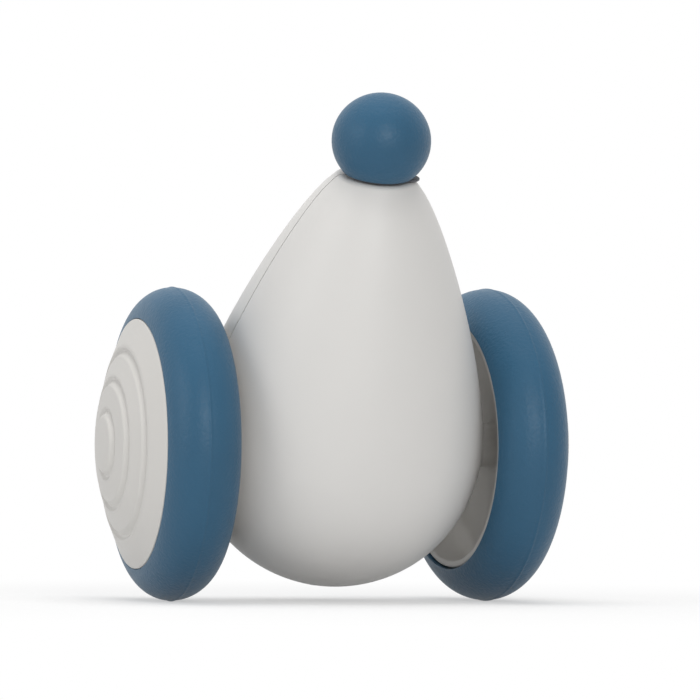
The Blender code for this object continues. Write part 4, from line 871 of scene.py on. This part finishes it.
def past_body():
    """A distance from the body's axis that lies outside the body."""
    s = sizes("body")
    return s.radius + 2 * s.wall


def shaft_bosses(core, other_side):
    """The bosses round both bushes, without what lies in the other shell."""
    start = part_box("right_bush")[0].x
    bosses = []
    for hand in SIDES.values():
        whole = boss(core, sizes("back").shaft_boss, start, past_body(), wheel_matrix(hand))
        bosses.append(carve(whole, [half_block(other_side)], "DIFFERENCE"))
    return bosses


def shaft_bores():
    """The holes of both bushes with the recesses for their flanges."""
    b = sizes("back")
    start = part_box("right_bush")[0].x - sizes("body").wall
    bores = []
    for hand in SIDES.values():
        axle = wheel_matrix(hand)
        bores.append(rod("bush", b.bush_bore, start, past_body(), axle))
        bores.append(rod("recess", b.bush_recess, b.bush_seat, past_body(), axle))
    return bores


def front_shell(blank, core):
    """The front half with its blind screw bosses."""
    s, b = sizes("body"), sizes("back")
    back = back_matrix()
    face = s.parting_back - s.parting_gap / 2
    depth = face - b.screw_reach - sizes("wheel").fit_gap
    half = carve(blank, [half_block(1.0)], "DIFFERENCE")
    bosses = [boss(core, b.screw_boss, -s.radius, face, back, p) for p in screw_places()]
    half = carve(half, bosses + shaft_bosses(core, 1.0), "UNION")
    holes = [rod("hole", b.screw_hole, depth, past_body(), back, p) for p in screw_places()]
    return softened(carve(half, holes + shaft_bores(), "DIFFERENCE"), s.seam_round)


def rear_shell(blank, core):
    """The rear half with its screw wells, its bosses and the openings of the controls."""
    s, b = sizes("body"), sizes("back")
    back = back_matrix()
    gap = sizes("wheel").fit_gap
    outside = past_body()
    face = s.parting_back + s.parting_gap / 2
    seat = face + b.screw_grip
    opening = b.button_radius + b.button_clearance
    button = (0.0, -b.button_along)
    guide = radius_at(body_side(FINE_ROWS), b.button_along) - s.wall - b.button_guide
    half = carve(blank, [half_block(-1.0)], "DIFFERENCE")
    bosses = [boss(core, b.screw_boss, face, outside, back, p) for p in screw_places()]
    bosses.append(boss(core, opening + s.wall, guide, outside, back, button))
    for hand in SIDES.values():
        place = (hand * b.board_screw_across, -b.board_screw_along)
        bosses.append(boss(core, b.board_boss, b.board_face + gap, outside, back, place))
    half = carve(half, bosses + shaft_bosses(core, -1.0), "UNION")

    cuts = []
    for place in screw_places():
        cuts.append(rod("hole", b.screw_hole, face - outside, seat, back, place))
        cuts.append(rod("well", b.screw_well, seat, outside, back, place))
    cuts.append(rod("button", opening, b.board_face, outside, back, button))
    light = (0.0, -b.light_along)
    cuts.append(rod("light", b.light_radius + gap, b.board_face, outside, back, light))
    outline = stadium(b.socket_width + 2 * gap, b.socket_height + 2 * gap)
    outline = [(x, y - b.socket_along) for x, y in outline]
    cuts.append(prism("socket", outline, b.board_face, outside, back))
    return softened(carve(half, cuts + shaft_bores(), "DIFFERENCE"), s.seam_round)


class MOUSETOY_OT_shells(bpy.types.Operator):
    """Make the front and rear shells with their openings and screw bosses"""

    bl_idname = "mouse_toy.shells"
    bl_label = "Shells"

    def execute(self, context):
        core = shell_core()
        blank = shell_blank()
        front = front_shell(blank.copy(), core)
        piece("front_shell_skin", front, BODY, "shell_plastic", ["front_shell"], CRISP_EDGES)
        rear = rear_shell(blank, core)
        piece("rear_shell_skin", rear, BODY, "shell_plastic", ["rear_shell"], CRISP_EDGES)
        return {"FINISHED"}


def ball_profile():
    """The squashed hollow ball with its flat seat and its stem hole."""
    s = sizes("body")
    seat = 2 * s.washer_gap + s.washer_thickness
    floor = seat + s.ball_wall
    centre = (0.0, s.ball_rise)
    flat = math.asin((s.ball_rise - seat) / s.ball_height)
    profile = arc(centre, (s.ball_radius, s.ball_height), math.pi / 2, -flat, BALL_ROWS)
    profile[0] = (0.0, s.ball_rise + s.ball_height)
    profile[-1] = (*profile[-1], s.ball_round)
    hollow = (s.ball_radius - s.ball_wall, s.ball_height - s.ball_wall)
    mouth = math.asin((s.ball_rise - floor) / hollow[1])
    profile += [(s.stem_hole, seat, s.ball_round / 2), (s.stem_hole, floor, s.ball_round / 2)]
    inside = arc(centre, hollow, -mouth, math.pi / 2, HOLLOW_ROWS)
    inside[-1] = (0.0, s.ball_rise + hollow[1])
    return rounded(profile + inside)


class MOUSETOY_OT_nose(bpy.types.Operator):
    """Make the ball on the nose and the tabbed washer under it"""

    bl_idname = "mouse_toy.nose"
    bl_label = "Nose ball and washer"

    def execute(self, context):
        s = sizes("body")
        matrix = nose_matrix()
        ball = lathe("ball", ball_profile(), BALL_STEPS, matrix)
        piece("nose_ball_skin", ball, BODY, "blue_rubber", ["nose_ball"], ROUND_EDGES)

        half = s.tab_width / 2
        bend = math.asin(half / s.washer_radius)
        radii = (s.washer_radius, s.washer_radius)
        ring = arc((0.0, 0.0), radii, bend, 2 * math.pi - bend, WASHER_STEPS)
        tab = arc((s.tab_reach - half, 0.0), (half, half), -math.pi / 2, math.pi / 2, TAB_STEPS)
        turned = matrix @ Matrix.Rotation(s.tab_turn, 4, "Z")
        top = s.washer_gap + s.washer_thickness
        edge = s.washer_thickness * s.washer_edge
        washer = prism("washer", ring + tab, s.washer_gap, top, turned, bevel=edge)
        hole = rod("hole", s.stem_hole, -s.wall, s.wall, matrix)
        washer = carve(washer, [hole], "DIFFERENCE")
        piece("nose_washer", washer, BODY, "washer_rubber", ["nose_collar"])
        return {"FINISHED"}


def tyre_profile():
    """A round tread with a fine mould line, over a bore with a groove."""
    w = sizes("wheel")
    bore = w.hub_radius + w.fit_gap
    centre = w.tyre_radius - w.section_radius
    spread = math.acos((bore - centre) / w.section_radius)
    seam = w.seam_width / w.section_radius
    turns = [spread - 2 * spread * row / TREAD_ROWS for row in range(TREAD_ROWS + 1)]
    turns = [turn for turn in turns if abs(turn) > seam * SEAM_CLEARANCE]
    turns += [seam * row / SEAM_ROWS for row in range(-SEAM_ROWS, SEAM_ROWS + 1)]
    turns.sort(reverse=True)
    tread = []
    for turn in turns:
        rise = w.seam_height * math.exp(-((turn / seam * SEAM_FALL) ** 2))
        radius = w.section_radius + rise
        width = radius * (w.outer_share if turn > 0.0 else 1.0)
        tread.append((centre + radius * math.cos(turn), width * math.sin(turn)))
    tread[0] = (*tread[0], w.lip_radius)
    tread[-1] = (*tread[-1], w.lip_radius)
    groove = w.rib_half_width + w.fit_gap
    depth = bore + w.rib_height
    inner = [(bore, -groove), (depth, -groove), (depth, groove), (bore, groove)]
    return rounded(tread + inner, closed=True)


class MOUSETOY_OT_tyres(bpy.types.Operator):
    """Make the two soft tyres"""

    bl_idname = "mouse_toy.tyres"
    bl_label = "Tyres"

    def execute(self, context):
        for side, hand in SIDES.items():
            place = wheel_matrix(hand, WHEEL_PLANE)
            mesh = lathe("tyre", tyre_profile(), TYRE_STEPS, place, closed=True)
            wheel = side + "_wheel"
            piece(side + "_tyre_skin", mesh, wheel, "blue_rubber", [side + "_tyre"], SOFT_EDGES)
        return {"FINISHED"}


def hub_profile():
    """A barrel with a rib outside and a filleted bowl that is closed by a web with a boss."""
    w = sizes("wheel")
    inside = w.hub_radius - w.wall
    rib = w.hub_radius + w.rib_height
    top = w.half_width - w.cover_edge - w.fit_gap
    foot = -w.half_width
    web_top = w.web_place + w.web_wall
    return rounded([
        (w.hub_radius, top, w.edge_round),
        (w.hub_radius, w.rib_half_width),
        (rib, w.rib_half_width, w.edge_round),
        (rib, -w.rib_half_width, w.edge_round),
        (w.hub_radius, -w.rib_half_width),
        (w.hub_radius, foot, w.edge_round),
        (inside, foot, w.edge_round),
        (inside, w.web_place, w.bowl_fillet),
        (w.boss_radius, w.web_place, w.boss_fillet),
        (w.boss_radius, -w.boss_reach, w.edge_round),
        (w.axle_bore, -w.boss_reach, w.fine_round),
        (w.axle_bore, web_top),
        (w.screw_bore, web_top),
        (w.screw_bore, web_top + w.boss_height),
        (w.boss_radius, web_top + w.boss_height, w.edge_round),
        (w.boss_radius, web_top, w.boss_fillet / 2),
        (inside, web_top, w.boss_fillet),
        (inside, top, w.edge_round),
    ], closed=True, count=6)


class MOUSETOY_OT_hubs(bpy.types.Operator):
    """Make the two hollow hubs"""

    bl_idname = "mouse_toy.hubs"
    bl_label = "Hubs"

    def execute(self, context):
        for side, hand in SIDES.items():
            place = wheel_matrix(hand, WHEEL_PLANE)
            mesh = lathe("hub", hub_profile(), HUB_STEPS, place, closed=True)
            piece(side + "_hub_skin", mesh, side + "_wheel", "hub_plastic", [side + "_hub"])
        return {"FINISHED"}


def cover_profile():
    """A dome that rises in rounded steps at its creases, with a skirt that fits inside the hub."""
    w = sizes("wheel")
    rim = w.half_width
    creases = (w.crease_outer, w.crease_middle, w.crease_inner)

    def dome(radius):
        return rim + w.dome_height * (1.0 - (radius / w.hub_radius) ** 2)

    outer = [(w.cover_radius, rim - w.cover_edge), (w.cover_radius, rim, w.cover_round)]
    start = (w.cover_radius, rim)
    for crease in creases:
        bottom = (crease, dome(crease) - w.crease_depth)
        edge = (crease + w.crease_run, bottom[1] + w.crease_depth * w.crease_share)
        step = (crease - w.step_run, bottom[1] + w.step_rise)
        outer += run(start, edge, BAND_ROWS)
        outer += run(edge, bottom, CREASE_ROWS, smooth)
        outer += run(bottom, step, STEP_ROWS, smooth)
        start = step
    outer += run(start, (0.0, rim + w.dome_height), CENTRE_ROWS, levelling)
    outer.reverse()
    skirt = w.hub_radius - w.wall - w.fit_gap
    foot = rim - w.cover_edge - w.skirt_depth
    inside = skirt - w.skirt_wall
    drop = w.crease_depth + w.cover_wall
    lower = [
        (skirt, rim - w.cover_edge),
        (skirt, foot, w.fine_round),
        (inside, foot, w.fine_round),
    ]
    lower += [(radius, dome(radius) - drop) for radius in (inside, *creases, 0.0)]
    return rounded(outer + lower)


class MOUSETOY_OT_covers(bpy.types.Operator):
    """Make the two stepped hub covers"""

    bl_idname = "mouse_toy.covers"
    bl_label = "Hub covers"

    def execute(self, context):
        for side, hand in SIDES.items():
            mesh = lathe("cover", cover_profile(), COVER_STEPS, wheel_matrix(hand, WHEEL_PLANE))
            wheel = side + "_wheel"
            piece(side + "_cover_skin", mesh, wheel, "hub_plastic", [side + "_hub_cover"], SOFT_EDGES)
        return {"FINISHED"}


def screw_tree():
    """A tree that sets a cross-recessed screw on every point."""
    name = "screws_on_points"
    old = bpy.data.node_groups.get(name)
    if old is not None:
        return old
    tree = bpy.data.node_groups.new(name, "GeometryNodeTree")
    face = tree.interface
    face.new_socket("Geometry", in_out="INPUT", socket_type="NodeSocketGeometry")
    face.new_socket("Geometry", in_out="OUTPUT", socket_type="NodeSocketGeometry")
    for label, default in (
        ("Head radius", 0.0015), ("Head height", 0.0012), ("Shank radius", 0.0008),
        ("Shank length", 0.008), ("Recess width", 0.0004), ("Recess depth", 0.0006),
    ):
        socket = face.new_socket(label, in_out="INPUT", socket_type="NodeSocketFloat")
        socket.default_value = default
        socket.subtype = "DISTANCE"
    face.new_socket("Turn", in_out="INPUT", socket_type="NodeSocketRotation")
    face.new_socket("Finish", in_out="INPUT", socket_type="NodeSocketMaterial")
    nodes, links = tree.nodes, tree.links
    given = nodes.new("NodeGroupInput")
    result = nodes.new("NodeGroupOutput")

    def maths(operation, first, second):
        node = nodes.new("ShaderNodeMath")
        node.operation = operation
        for socket, value in zip(node.inputs, (first, second)):
            if isinstance(value, float):
                socket.default_value = value
            else:
                links.new(value, socket)
        return node.outputs[0]

    def raised(geometry, height):
        vector = nodes.new("ShaderNodeCombineXYZ")
        links.new(height, vector.inputs["Z"])
        move = nodes.new("GeometryNodeTransform")
        links.new(geometry, move.inputs["Geometry"])
        links.new(vector.outputs[0], move.inputs["Translation"])
        return move.outputs[0]

    radius, height = given.outputs["Head radius"], given.outputs["Head height"]
    half = maths("MULTIPLY", height, 0.5)
    head = nodes.new("GeometryNodeMeshCylinder")
    head.inputs["Vertices"].default_value = HEAD_STEPS
    links.new(radius, head.inputs["Radius"])
    links.new(half, head.inputs["Depth"])
    crown = nodes.new("GeometryNodeMeshCone")
    crown.inputs["Vertices"].default_value = HEAD_STEPS
    links.new(radius, crown.inputs["Radius Bottom"])
    links.new(maths("MULTIPLY", radius, CROWN_SHARE), crown.inputs["Radius Top"])
    links.new(half, crown.inputs["Depth"])
    shank = nodes.new("GeometryNodeMeshCylinder")
    shank.inputs["Vertices"].default_value = SHANK_STEPS
    links.new(given.outputs["Shank radius"], shank.inputs["Radius"])
    links.new(maths("ADD", given.outputs["Shank length"], half), shank.inputs["Depth"])
    sunk = maths("MULTIPLY", given.outputs["Shank length"], -0.5)
    head_place = maths("MULTIPLY", height, 0.25)
    shank_place = maths("ADD", sunk, maths("MULTIPLY", half, 0.5))

    join = nodes.new("GeometryNodeMeshBoolean")
    join.operation = "UNION"
    join.solver = "EXACT"
    links.new(raised(head.outputs["Mesh"], head_place), join.inputs["Mesh 2"])
    links.new(raised(crown.outputs["Mesh"], half), join.inputs["Mesh 2"])
    links.new(raised(shank.outputs["Mesh"], shank_place), join.inputs["Mesh 2"])

    cut = nodes.new("GeometryNodeMeshBoolean")
    cut.operation = "DIFFERENCE"
    cut.solver = "EXACT"
    links.new(join.outputs["Mesh"], cut.inputs["Mesh 1"])
    arm = maths("MULTIPLY", radius, RECESS_REACH)
    deep = maths("MULTIPLY", given.outputs["Recess depth"], 2.0)
    for order in ((0, 1), (1, 0)):
        size = nodes.new("ShaderNodeCombineXYZ")
        links.new(arm, size.inputs[order[0]])
        links.new(given.outputs["Recess width"], size.inputs[order[1]])
        links.new(deep, size.inputs["Z"])
        bar = nodes.new("GeometryNodeMeshCube")
        links.new(size.outputs[0], bar.inputs["Size"])
        links.new(raised(bar.outputs["Mesh"], height), cut.inputs["Mesh 2"])

    spread = nodes.new("GeometryNodeInstanceOnPoints")
    links.new(given.outputs["Geometry"], spread.inputs["Points"])
    links.new(cut.outputs["Mesh"], spread.inputs["Instance"])
    links.new(given.outputs["Turn"], spread.inputs["Rotation"])
    real = nodes.new("GeometryNodeRealizeInstances")
    links.new(spread.outputs[0], real.inputs[0])
    paint = nodes.new("GeometryNodeSetMaterial")
    links.new(real.outputs[0], paint.inputs["Geometry"])
    links.new(given.outputs["Finish"], paint.inputs["Material"])
    links.new(paint.outputs[0], result.inputs[0])
    return tree


def screws(name, seats, matrix, values, body, replaced):
    """Screws on their seats, as one plain mesh that rides on one body."""
    tree = screw_tree()
    points = bpy.data.meshes.new(name)
    points.from_pydata([matrix @ Vector(seat) for seat in seats], [], [])
    item = bpy.data.objects.new(name, points)
    bpy.context.scene.collection.objects.link(item)
    step = item.modifiers.new("screws", "NODES")
    step.node_group = tree
    wanted = dict(values)
    wanted["Turn"] = tuple(matrix.to_euler())
    wanted["Finish"] = finishes()["steel"]
    for socket in tree.interface.items_tree:
        if socket.in_out == "INPUT" and socket.name in wanted:
            step[socket.identifier] = wanted[socket.name]
    mesh = evaluated(item)
    bpy.data.objects.remove(item, do_unlink=True)
    bpy.data.meshes.remove(points)
    if not mesh.polygons:
        raise RuntimeError(name + " came out empty")
    piece(name, mesh, body, "steel", replaced, CRISP_EDGES)


class MOUSETOY_OT_screws(bpy.types.Operator):
    """Make the screws of the shells, the board and the wheels"""

    bl_idname = "mouse_toy.screws"
    bl_label = "Screws"

    def execute(self, context):
        s, b, w, c = sizes("body"), sizes("back"), sizes("wheel"), sizes("screws")
        back = back_matrix()
        gap = w.fit_gap

        def values(head, height, shank, long):
            return {
                "Head radius": head,
                "Head height": height,
                "Shank radius": shank,
                "Shank length": long + gap,
                "Recess width": c.recess_width,
                "Recess depth": height * c.recess_share,
            }

        seat = s.parting_back + s.parting_gap / 2 + b.screw_grip + gap
        long = b.screw_grip + s.parting_gap + b.screw_reach
        shell = values(c.shell_head, c.shell_head_height, c.shell_shank, long)
        names = ["shell_screw_%d" % number for number in (1, 2, 3, 4)]
        screws("shell_screws", [(x, y, seat) for x, y in screw_places()], back, shell, BODY, names)

        long = b.board_thickness + c.board_reach
        board = values(c.board_head, c.board_head_height, c.board_shank, long)
        flipped = back @ Matrix.Rotation(math.pi, 4, "X")
        seat = b.board_thickness + gap - b.board_face
        seats = [(hand * b.board_screw_across, b.board_screw_along, seat) for hand in SIDES.values()]
        names = ["board_screw_" + side for side in SIDES]
        screws("board_screws", seats, flipped, board, BODY, names)

        long = w.boss_height + c.wheel_reach
        wheel = values(c.wheel_head, c.wheel_head_height, c.wheel_shank, long)
        seat = w.web_place + w.web_wall + w.boss_height + gap
        for side, hand in SIDES.items():
            name = side + "_wheel_screw"
            place = wheel_matrix(hand, WHEEL_PLANE)
            screws(name + "_head", [(0.0, 0.0, seat)], place, wheel, side + "_wheel", [name])
        return {"FINISHED"}


def back_place(along):
    """The frame that faces back from the body's axis, at a place along it."""
    return back_matrix() @ Matrix.Translation((0.0, -along, 0.0))


def power_button():
    """A dished cap with a flange inside the wall and a stem that reaches the switch."""
    s, b, w = sizes("body"), sizes("back"), sizes("wheel")
    surface = radius_at(body_side(FINE_ROWS), b.button_along)
    top = surface + b.button_proud
    flange = surface - s.wall - b.button_guide - w.fit_gap
    under = flange - b.button_flange_height
    foot = b.board_face + b.button_foot
    radii = (b.button_radius * b.dish_share, b.button_dish)
    dish = arc((0.0, top), radii, -math.pi / 2, 0.0, DISH_ROWS)
    dish[0] = (0.0, top - b.button_dish)
    profile = dish + [
        (b.button_radius, top, b.edge_round),
        (b.button_radius, flange),
        (b.button_flange, flange, w.fine_round),
        (b.button_flange, under, w.fine_round),
        (b.button_stem, under),
        (b.button_stem, foot, w.fine_round),
        (0.0, foot),
    ]
    mesh = lathe("button", rounded(profile), BUTTON_STEPS, back_place(b.button_along))
    piece("power_button_cap", mesh, "button", "button_plastic", ["power_button"], ROUND_EDGES)


def status_light():
    """A round light guide with a low dome."""
    b = sizes("back")
    top = radius_at(body_side(FINE_ROWS), b.light_along)
    foot = b.board_face + sizes("wheel").fit_gap
    radii = (b.light_radius, b.light_dome)
    dome = arc((0.0, top - b.light_dome), radii, math.pi / 2, 0.0, GUIDE_ROWS)
    dome[0] = (0.0, top)
    profile = dome + [(b.light_radius, foot), (0.0, foot)]
    mesh = lathe("light", profile, ROD_STEPS, back_place(b.light_along))
    piece("status_light_guide", mesh, BODY, "light_plastic", ["status_light"], SOFT_EDGES)


def charge_socket():
    """A steel shroud with round ends, and the black tongue inside it."""
    b = sizes("back")
    place = back_place(b.socket_along)
    edge = sizes("wheel").fine_round / 2
    low = b.board_face + sizes("wheel").fit_gap
    floor = low + b.socket_wall
    surface = radius_at(body_side(FINE_ROWS), b.socket_along + b.socket_height / 2)
    mouth = math.sqrt(surface ** 2 - (b.socket_width / 2) ** 2) - b.socket_recess
    outline = stadium(b.socket_width, b.socket_height)
    shroud = prism("shroud", outline, low, mouth, place, bevel=edge)
    outline = stadium(b.socket_width - 2 * b.socket_wall, b.socket_height - 2 * b.socket_wall)
    hollow = prism("hollow", outline, floor, mouth + sizes("body").wall, place)
    shroud = carve(shroud, [hollow], "DIFFERENCE")
    piece("charge_socket_shroud", shroud, BODY, "steel", ["charge_socket"])

    across, thick = b.tongue_width / 2, b.tongue_thickness / 2
    corners = ((across, -thick), (across, thick), (-across, thick), (-across, -thick))
    outline = rounded([(x, y, edge) for x, y in corners], closed=True, count=2)
    start, end = floor - b.socket_wall / 2, mouth - b.socket_recess
    tongue = prism("tongue", outline, start, end, place, bevel=edge)
    piece("charge_socket_tongue", tongue, BODY, "cap_plastic")


def tail_socket():
    """A flanged rubber socket with a blind hole for the pin of a tail."""
    b, w = sizes("back"), sizes("wheel")
    inner = height_at(body_side(FINE_ROWS), b.tail_radius) + b.tail_depth
    blind = inner - b.tail_bore
    face = -sizes("body").rear_length - w.fit_gap
    end = face - b.tail_flange_height
    profile = [
        (0.0, inner),
        (b.tail_radius, inner, b.edge_round),
        (b.tail_radius, face),
        (b.tail_flange, face, w.fine_round),
        (b.tail_flange, end, b.edge_round),
        (b.tail_bore, end, b.edge_round),
        (b.tail_bore, blind, b.edge_round),
        (0.0, blind),
    ]
    mesh = lathe("tail", rounded(profile), HOLE_STEPS, body_matrix())
    piece("tail_socket_skin", mesh, BODY, "washer_rubber", ["tail_socket"])


class MOUSETOY_OT_controls(bpy.types.Operator):
    """Make the button, the light guide, the charging socket and the tail socket"""

    bl_idname = "mouse_toy.controls"
    bl_label = "Button, light and sockets"

    def execute(self, context):
        power_button()
        status_light()
        charge_socket()
        tail_socket()
        return {"FINISHED"}


class MOUSETOY_OT_drive(bpy.types.Operator):
    """Give the drive and the electronics their finishes"""

    bl_idname = "mouse_toy.drive"
    bl_label = "Drive and electronics"

    def execute(self, context):
        looks = finishes()
        wanted = dict(CARRIED)
        for side in SIDES:
            for name, look in CARRIED_ON_BOTH_SIDES.items():
                wanted[side + "_" + name] = look
        for name, look in wanted.items():
            node = frame["nodes"][name]
            if not node.material_slots:
                raise RuntimeError(name + " has no material slot")
            for slot in node.material_slots:
                slot.material = looks[look]
        return {"FINISHED"}


def background_rays(nodes, links):
    """One for the rays that show the background: to the camera, off a gloss or through a clear piece."""
    path = nodes.new("ShaderNodeLightPath")
    seen = path.outputs["Is Camera Ray"]
    for kind in ("Is Glossy Ray", "Is Transmission Ray"):
        either = nodes.new("ShaderNodeMath")
        either.operation = "MAXIMUM"
        links.new(seen, either.inputs[0])
        links.new(path.outputs[kind], either.inputs[1])
        seen = either.outputs[0]
    return seen


def pale_floor():
    """A pale floor that keeps the toy's soft shadow and runs out to white round it."""
    g = sizes("stage")
    made, nodes, links, shader = new_finish("pale_floor")
    shader.inputs["Base Color"].default_value = (*sizes("colours").floor, 1.0)
    shader.inputs["Roughness"].default_value = 0.9
    shader.inputs["Specular IOR Level"].default_value = 0.0
    place = nodes.new("ShaderNodeTexCoord")
    away = nodes.new("ShaderNodeVectorMath")
    away.operation = "LENGTH"
    links.new(place.outputs["Object"], away.inputs[0])
    spread = nodes.new("ShaderNodeMapRange")
    spread.interpolation_type = "SMOOTHSTEP"
    spread.inputs["From Min"].default_value = g.floor_near
    spread.inputs["From Max"].default_value = g.floor_far
    spread.inputs["To Min"].default_value = g.floor_low
    links.new(away.outputs["Value"], spread.inputs["Value"])
    seen = nodes.new("ShaderNodeMath")
    seen.operation = "MULTIPLY"
    links.new(spread.outputs["Result"], seen.inputs[0])
    links.new(background_rays(nodes, links), seen.inputs[1])
    white = nodes.new("ShaderNodeEmission")
    mix = nodes.new("ShaderNodeMixShader")
    links.new(seen.outputs[0], mix.inputs["Fac"])
    links.new(shader.outputs[0], mix.inputs[1])
    links.new(white.outputs[0], mix.inputs[2])
    links.new(mix.outputs[0], nodes["Material Output"].inputs["Surface"])
    return made


def studio_floor():
    """The square floor that the toy stands on."""
    reach = FLOOR_REACH
    corners = [(-reach, -reach, 0.0), (reach, -reach, 0.0), (reach, reach, 0.0), (-reach, reach, 0.0)]
    mesh = bpy.data.meshes.new("floor")
    mesh.from_pydata(corners, [], [(0, 1, 2, 3)])
    mesh.materials.append(pale_floor())
    item = bpy.data.objects.new("floor", mesh)
    bpy.context.scene.collection.objects.link(item)


def white_studio():
    """White surroundings that light the toy gently and show as plain white."""
    world = bpy.data.worlds.new("white_studio")
    world.use_nodes = True
    nodes, links = world.node_tree.nodes, world.node_tree.links
    glow = nodes["Background"]
    seen = nodes.new("ShaderNodeBackground")
    for shader, strength in ((glow, sizes("stage").glow), (seen, 1.0)):
        shader.inputs["Color"].default_value = WHITE
        shader.inputs["Strength"].default_value = strength
    mix = nodes.new("ShaderNodeMixShader")
    links.new(background_rays(nodes, links), mix.inputs["Fac"])
    links.new(glow.outputs["Background"], mix.inputs[1])
    links.new(seen.outputs["Background"], mix.inputs[2])
    links.new(mix.outputs["Shader"], nodes["World Output"].inputs["Surface"])
    return world


def soft_light(name, place, width, height, power):
    """A rectangular soft light that faces the toy."""
    lamp = bpy.data.lights.new(name, "AREA")
    lamp.shape = "RECTANGLE"
    lamp.size = width
    lamp.size_y = height
    lamp.energy = power
    item = bpy.data.objects.new(name, lamp)
    item.location = place
    item.rotation_mode = "QUATERNION"
    item.rotation_quaternion = (Vector(LIT_POINT) - Vector(place)).to_track_quat("-Z", "Y")
    bpy.context.scene.collection.objects.link(item)
    return item


def studio_camera():
    """The camera, turned, raised and rolled about the point that it aims at."""
    g = sizes("stage")
    camera = bpy.data.cameras.new("camera")
    camera.lens = g.lens
    camera.sensor_width = SENSOR_WIDTH
    camera.clip_end = CAMERA_REACH
    item = bpy.data.objects.new("camera", camera)
    bpy.context.scene.collection.objects.link(item)
    back = Vector((
        math.sin(g.azimuth) * math.cos(g.elevation),
        -math.cos(g.azimuth) * math.cos(g.elevation),
        math.sin(g.elevation),
    ))
    turn = (-back).to_track_quat("-Z", "Y") @ Matrix.Rotation(g.roll, 3, "Z").to_quaternion()
    item.rotation_mode = "QUATERNION"
    item.rotation_quaternion = turn
    item.location = AXLE_CENTRE + turn @ Vector((g.aim_right, g.aim_up, 0.0)) + back * g.distance
    return item


class MOUSETOY_OT_stage(bpy.types.Operator):
    """Make the floor, the soft lights, the white surroundings and the camera"""

    bl_idname = "mouse_toy.stage"
    bl_label = "Studio stage"

    def execute(self, context):
        scene = context.scene
        studio_floor()
        scene.world = white_studio()
        for name, (place, width, height) in LIGHTS.items():
            power = getattr(sizes("stage"), name + "_power")
            lamp = soft_light(name + "_light", place, width, height, power)
            lamp.visible_glossy = name != "top"
        scene.camera = studio_camera()
        scene.view_settings.view_transform = "Standard"
        return {"FINISHED"}


class MOUSETOY_PT_panel(bpy.types.Panel):
    """Sizes, colours and building steps of the toy"""

    bl_idname = "MOUSETOY_PT_panel"
    bl_label = "Mouse toy"
    bl_space_type = "VIEW_3D"
    bl_region_type = "UI"
    bl_category = "Mouse toy"

    def draw(self, context):
        for kind in GROUPS:
            group = sizes(kind)
            box = self.layout.box()
            box.label(text=kind.capitalize())
            for name in group.__annotations__:
                box.prop(group, name)
        for step in STEPS:
            self.layout.operator(step.bl_idname)


GROUPS = {
    "body": MouseToyBodySizes,
    "wheel": MouseToyWheelSizes,
    "back": MouseToyBackSizes,
    "screws": MouseToyScrewSizes,
    "stage": MouseToyStage,
    "colours": MouseToyColours,
}
STEPS = (
    MOUSETOY_OT_stage,
    MOUSETOY_OT_shells,
    MOUSETOY_OT_nose,
    MOUSETOY_OT_tyres,
    MOUSETOY_OT_hubs,
    MOUSETOY_OT_covers,
    MOUSETOY_OT_screws,
    MOUSETOY_OT_controls,
    MOUSETOY_OT_drive,
)


def register():
    """Register the sizes, the building steps and the panel."""
    for kind, group in GROUPS.items():
        bpy.utils.register_class(group)
        setattr(bpy.types.Scene, "mouse_toy_" + kind, bpy.props.PointerProperty(type=group))
    for step in STEPS:
        bpy.utils.register_class(step)
    bpy.utils.register_class(MOUSETOY_PT_panel)


def unregister():
    """Take the panel, the building steps and the sizes away again."""
    bpy.utils.unregister_class(MOUSETOY_PT_panel)
    for step in reversed(STEPS):
        bpy.utils.unregister_class(step)
    for kind, group in reversed(GROUPS.items()):
        delattr(bpy.types.Scene, "mouse_toy_" + kind)
        bpy.utils.unregister_class(group)


def main():
    """Build the whole toy."""
    register()
    for step in STEPS:
        group, name = step.bl_idname.split(".")
        getattr(getattr(bpy.ops, group), name)()


if __name__ == "__main__":
    main()
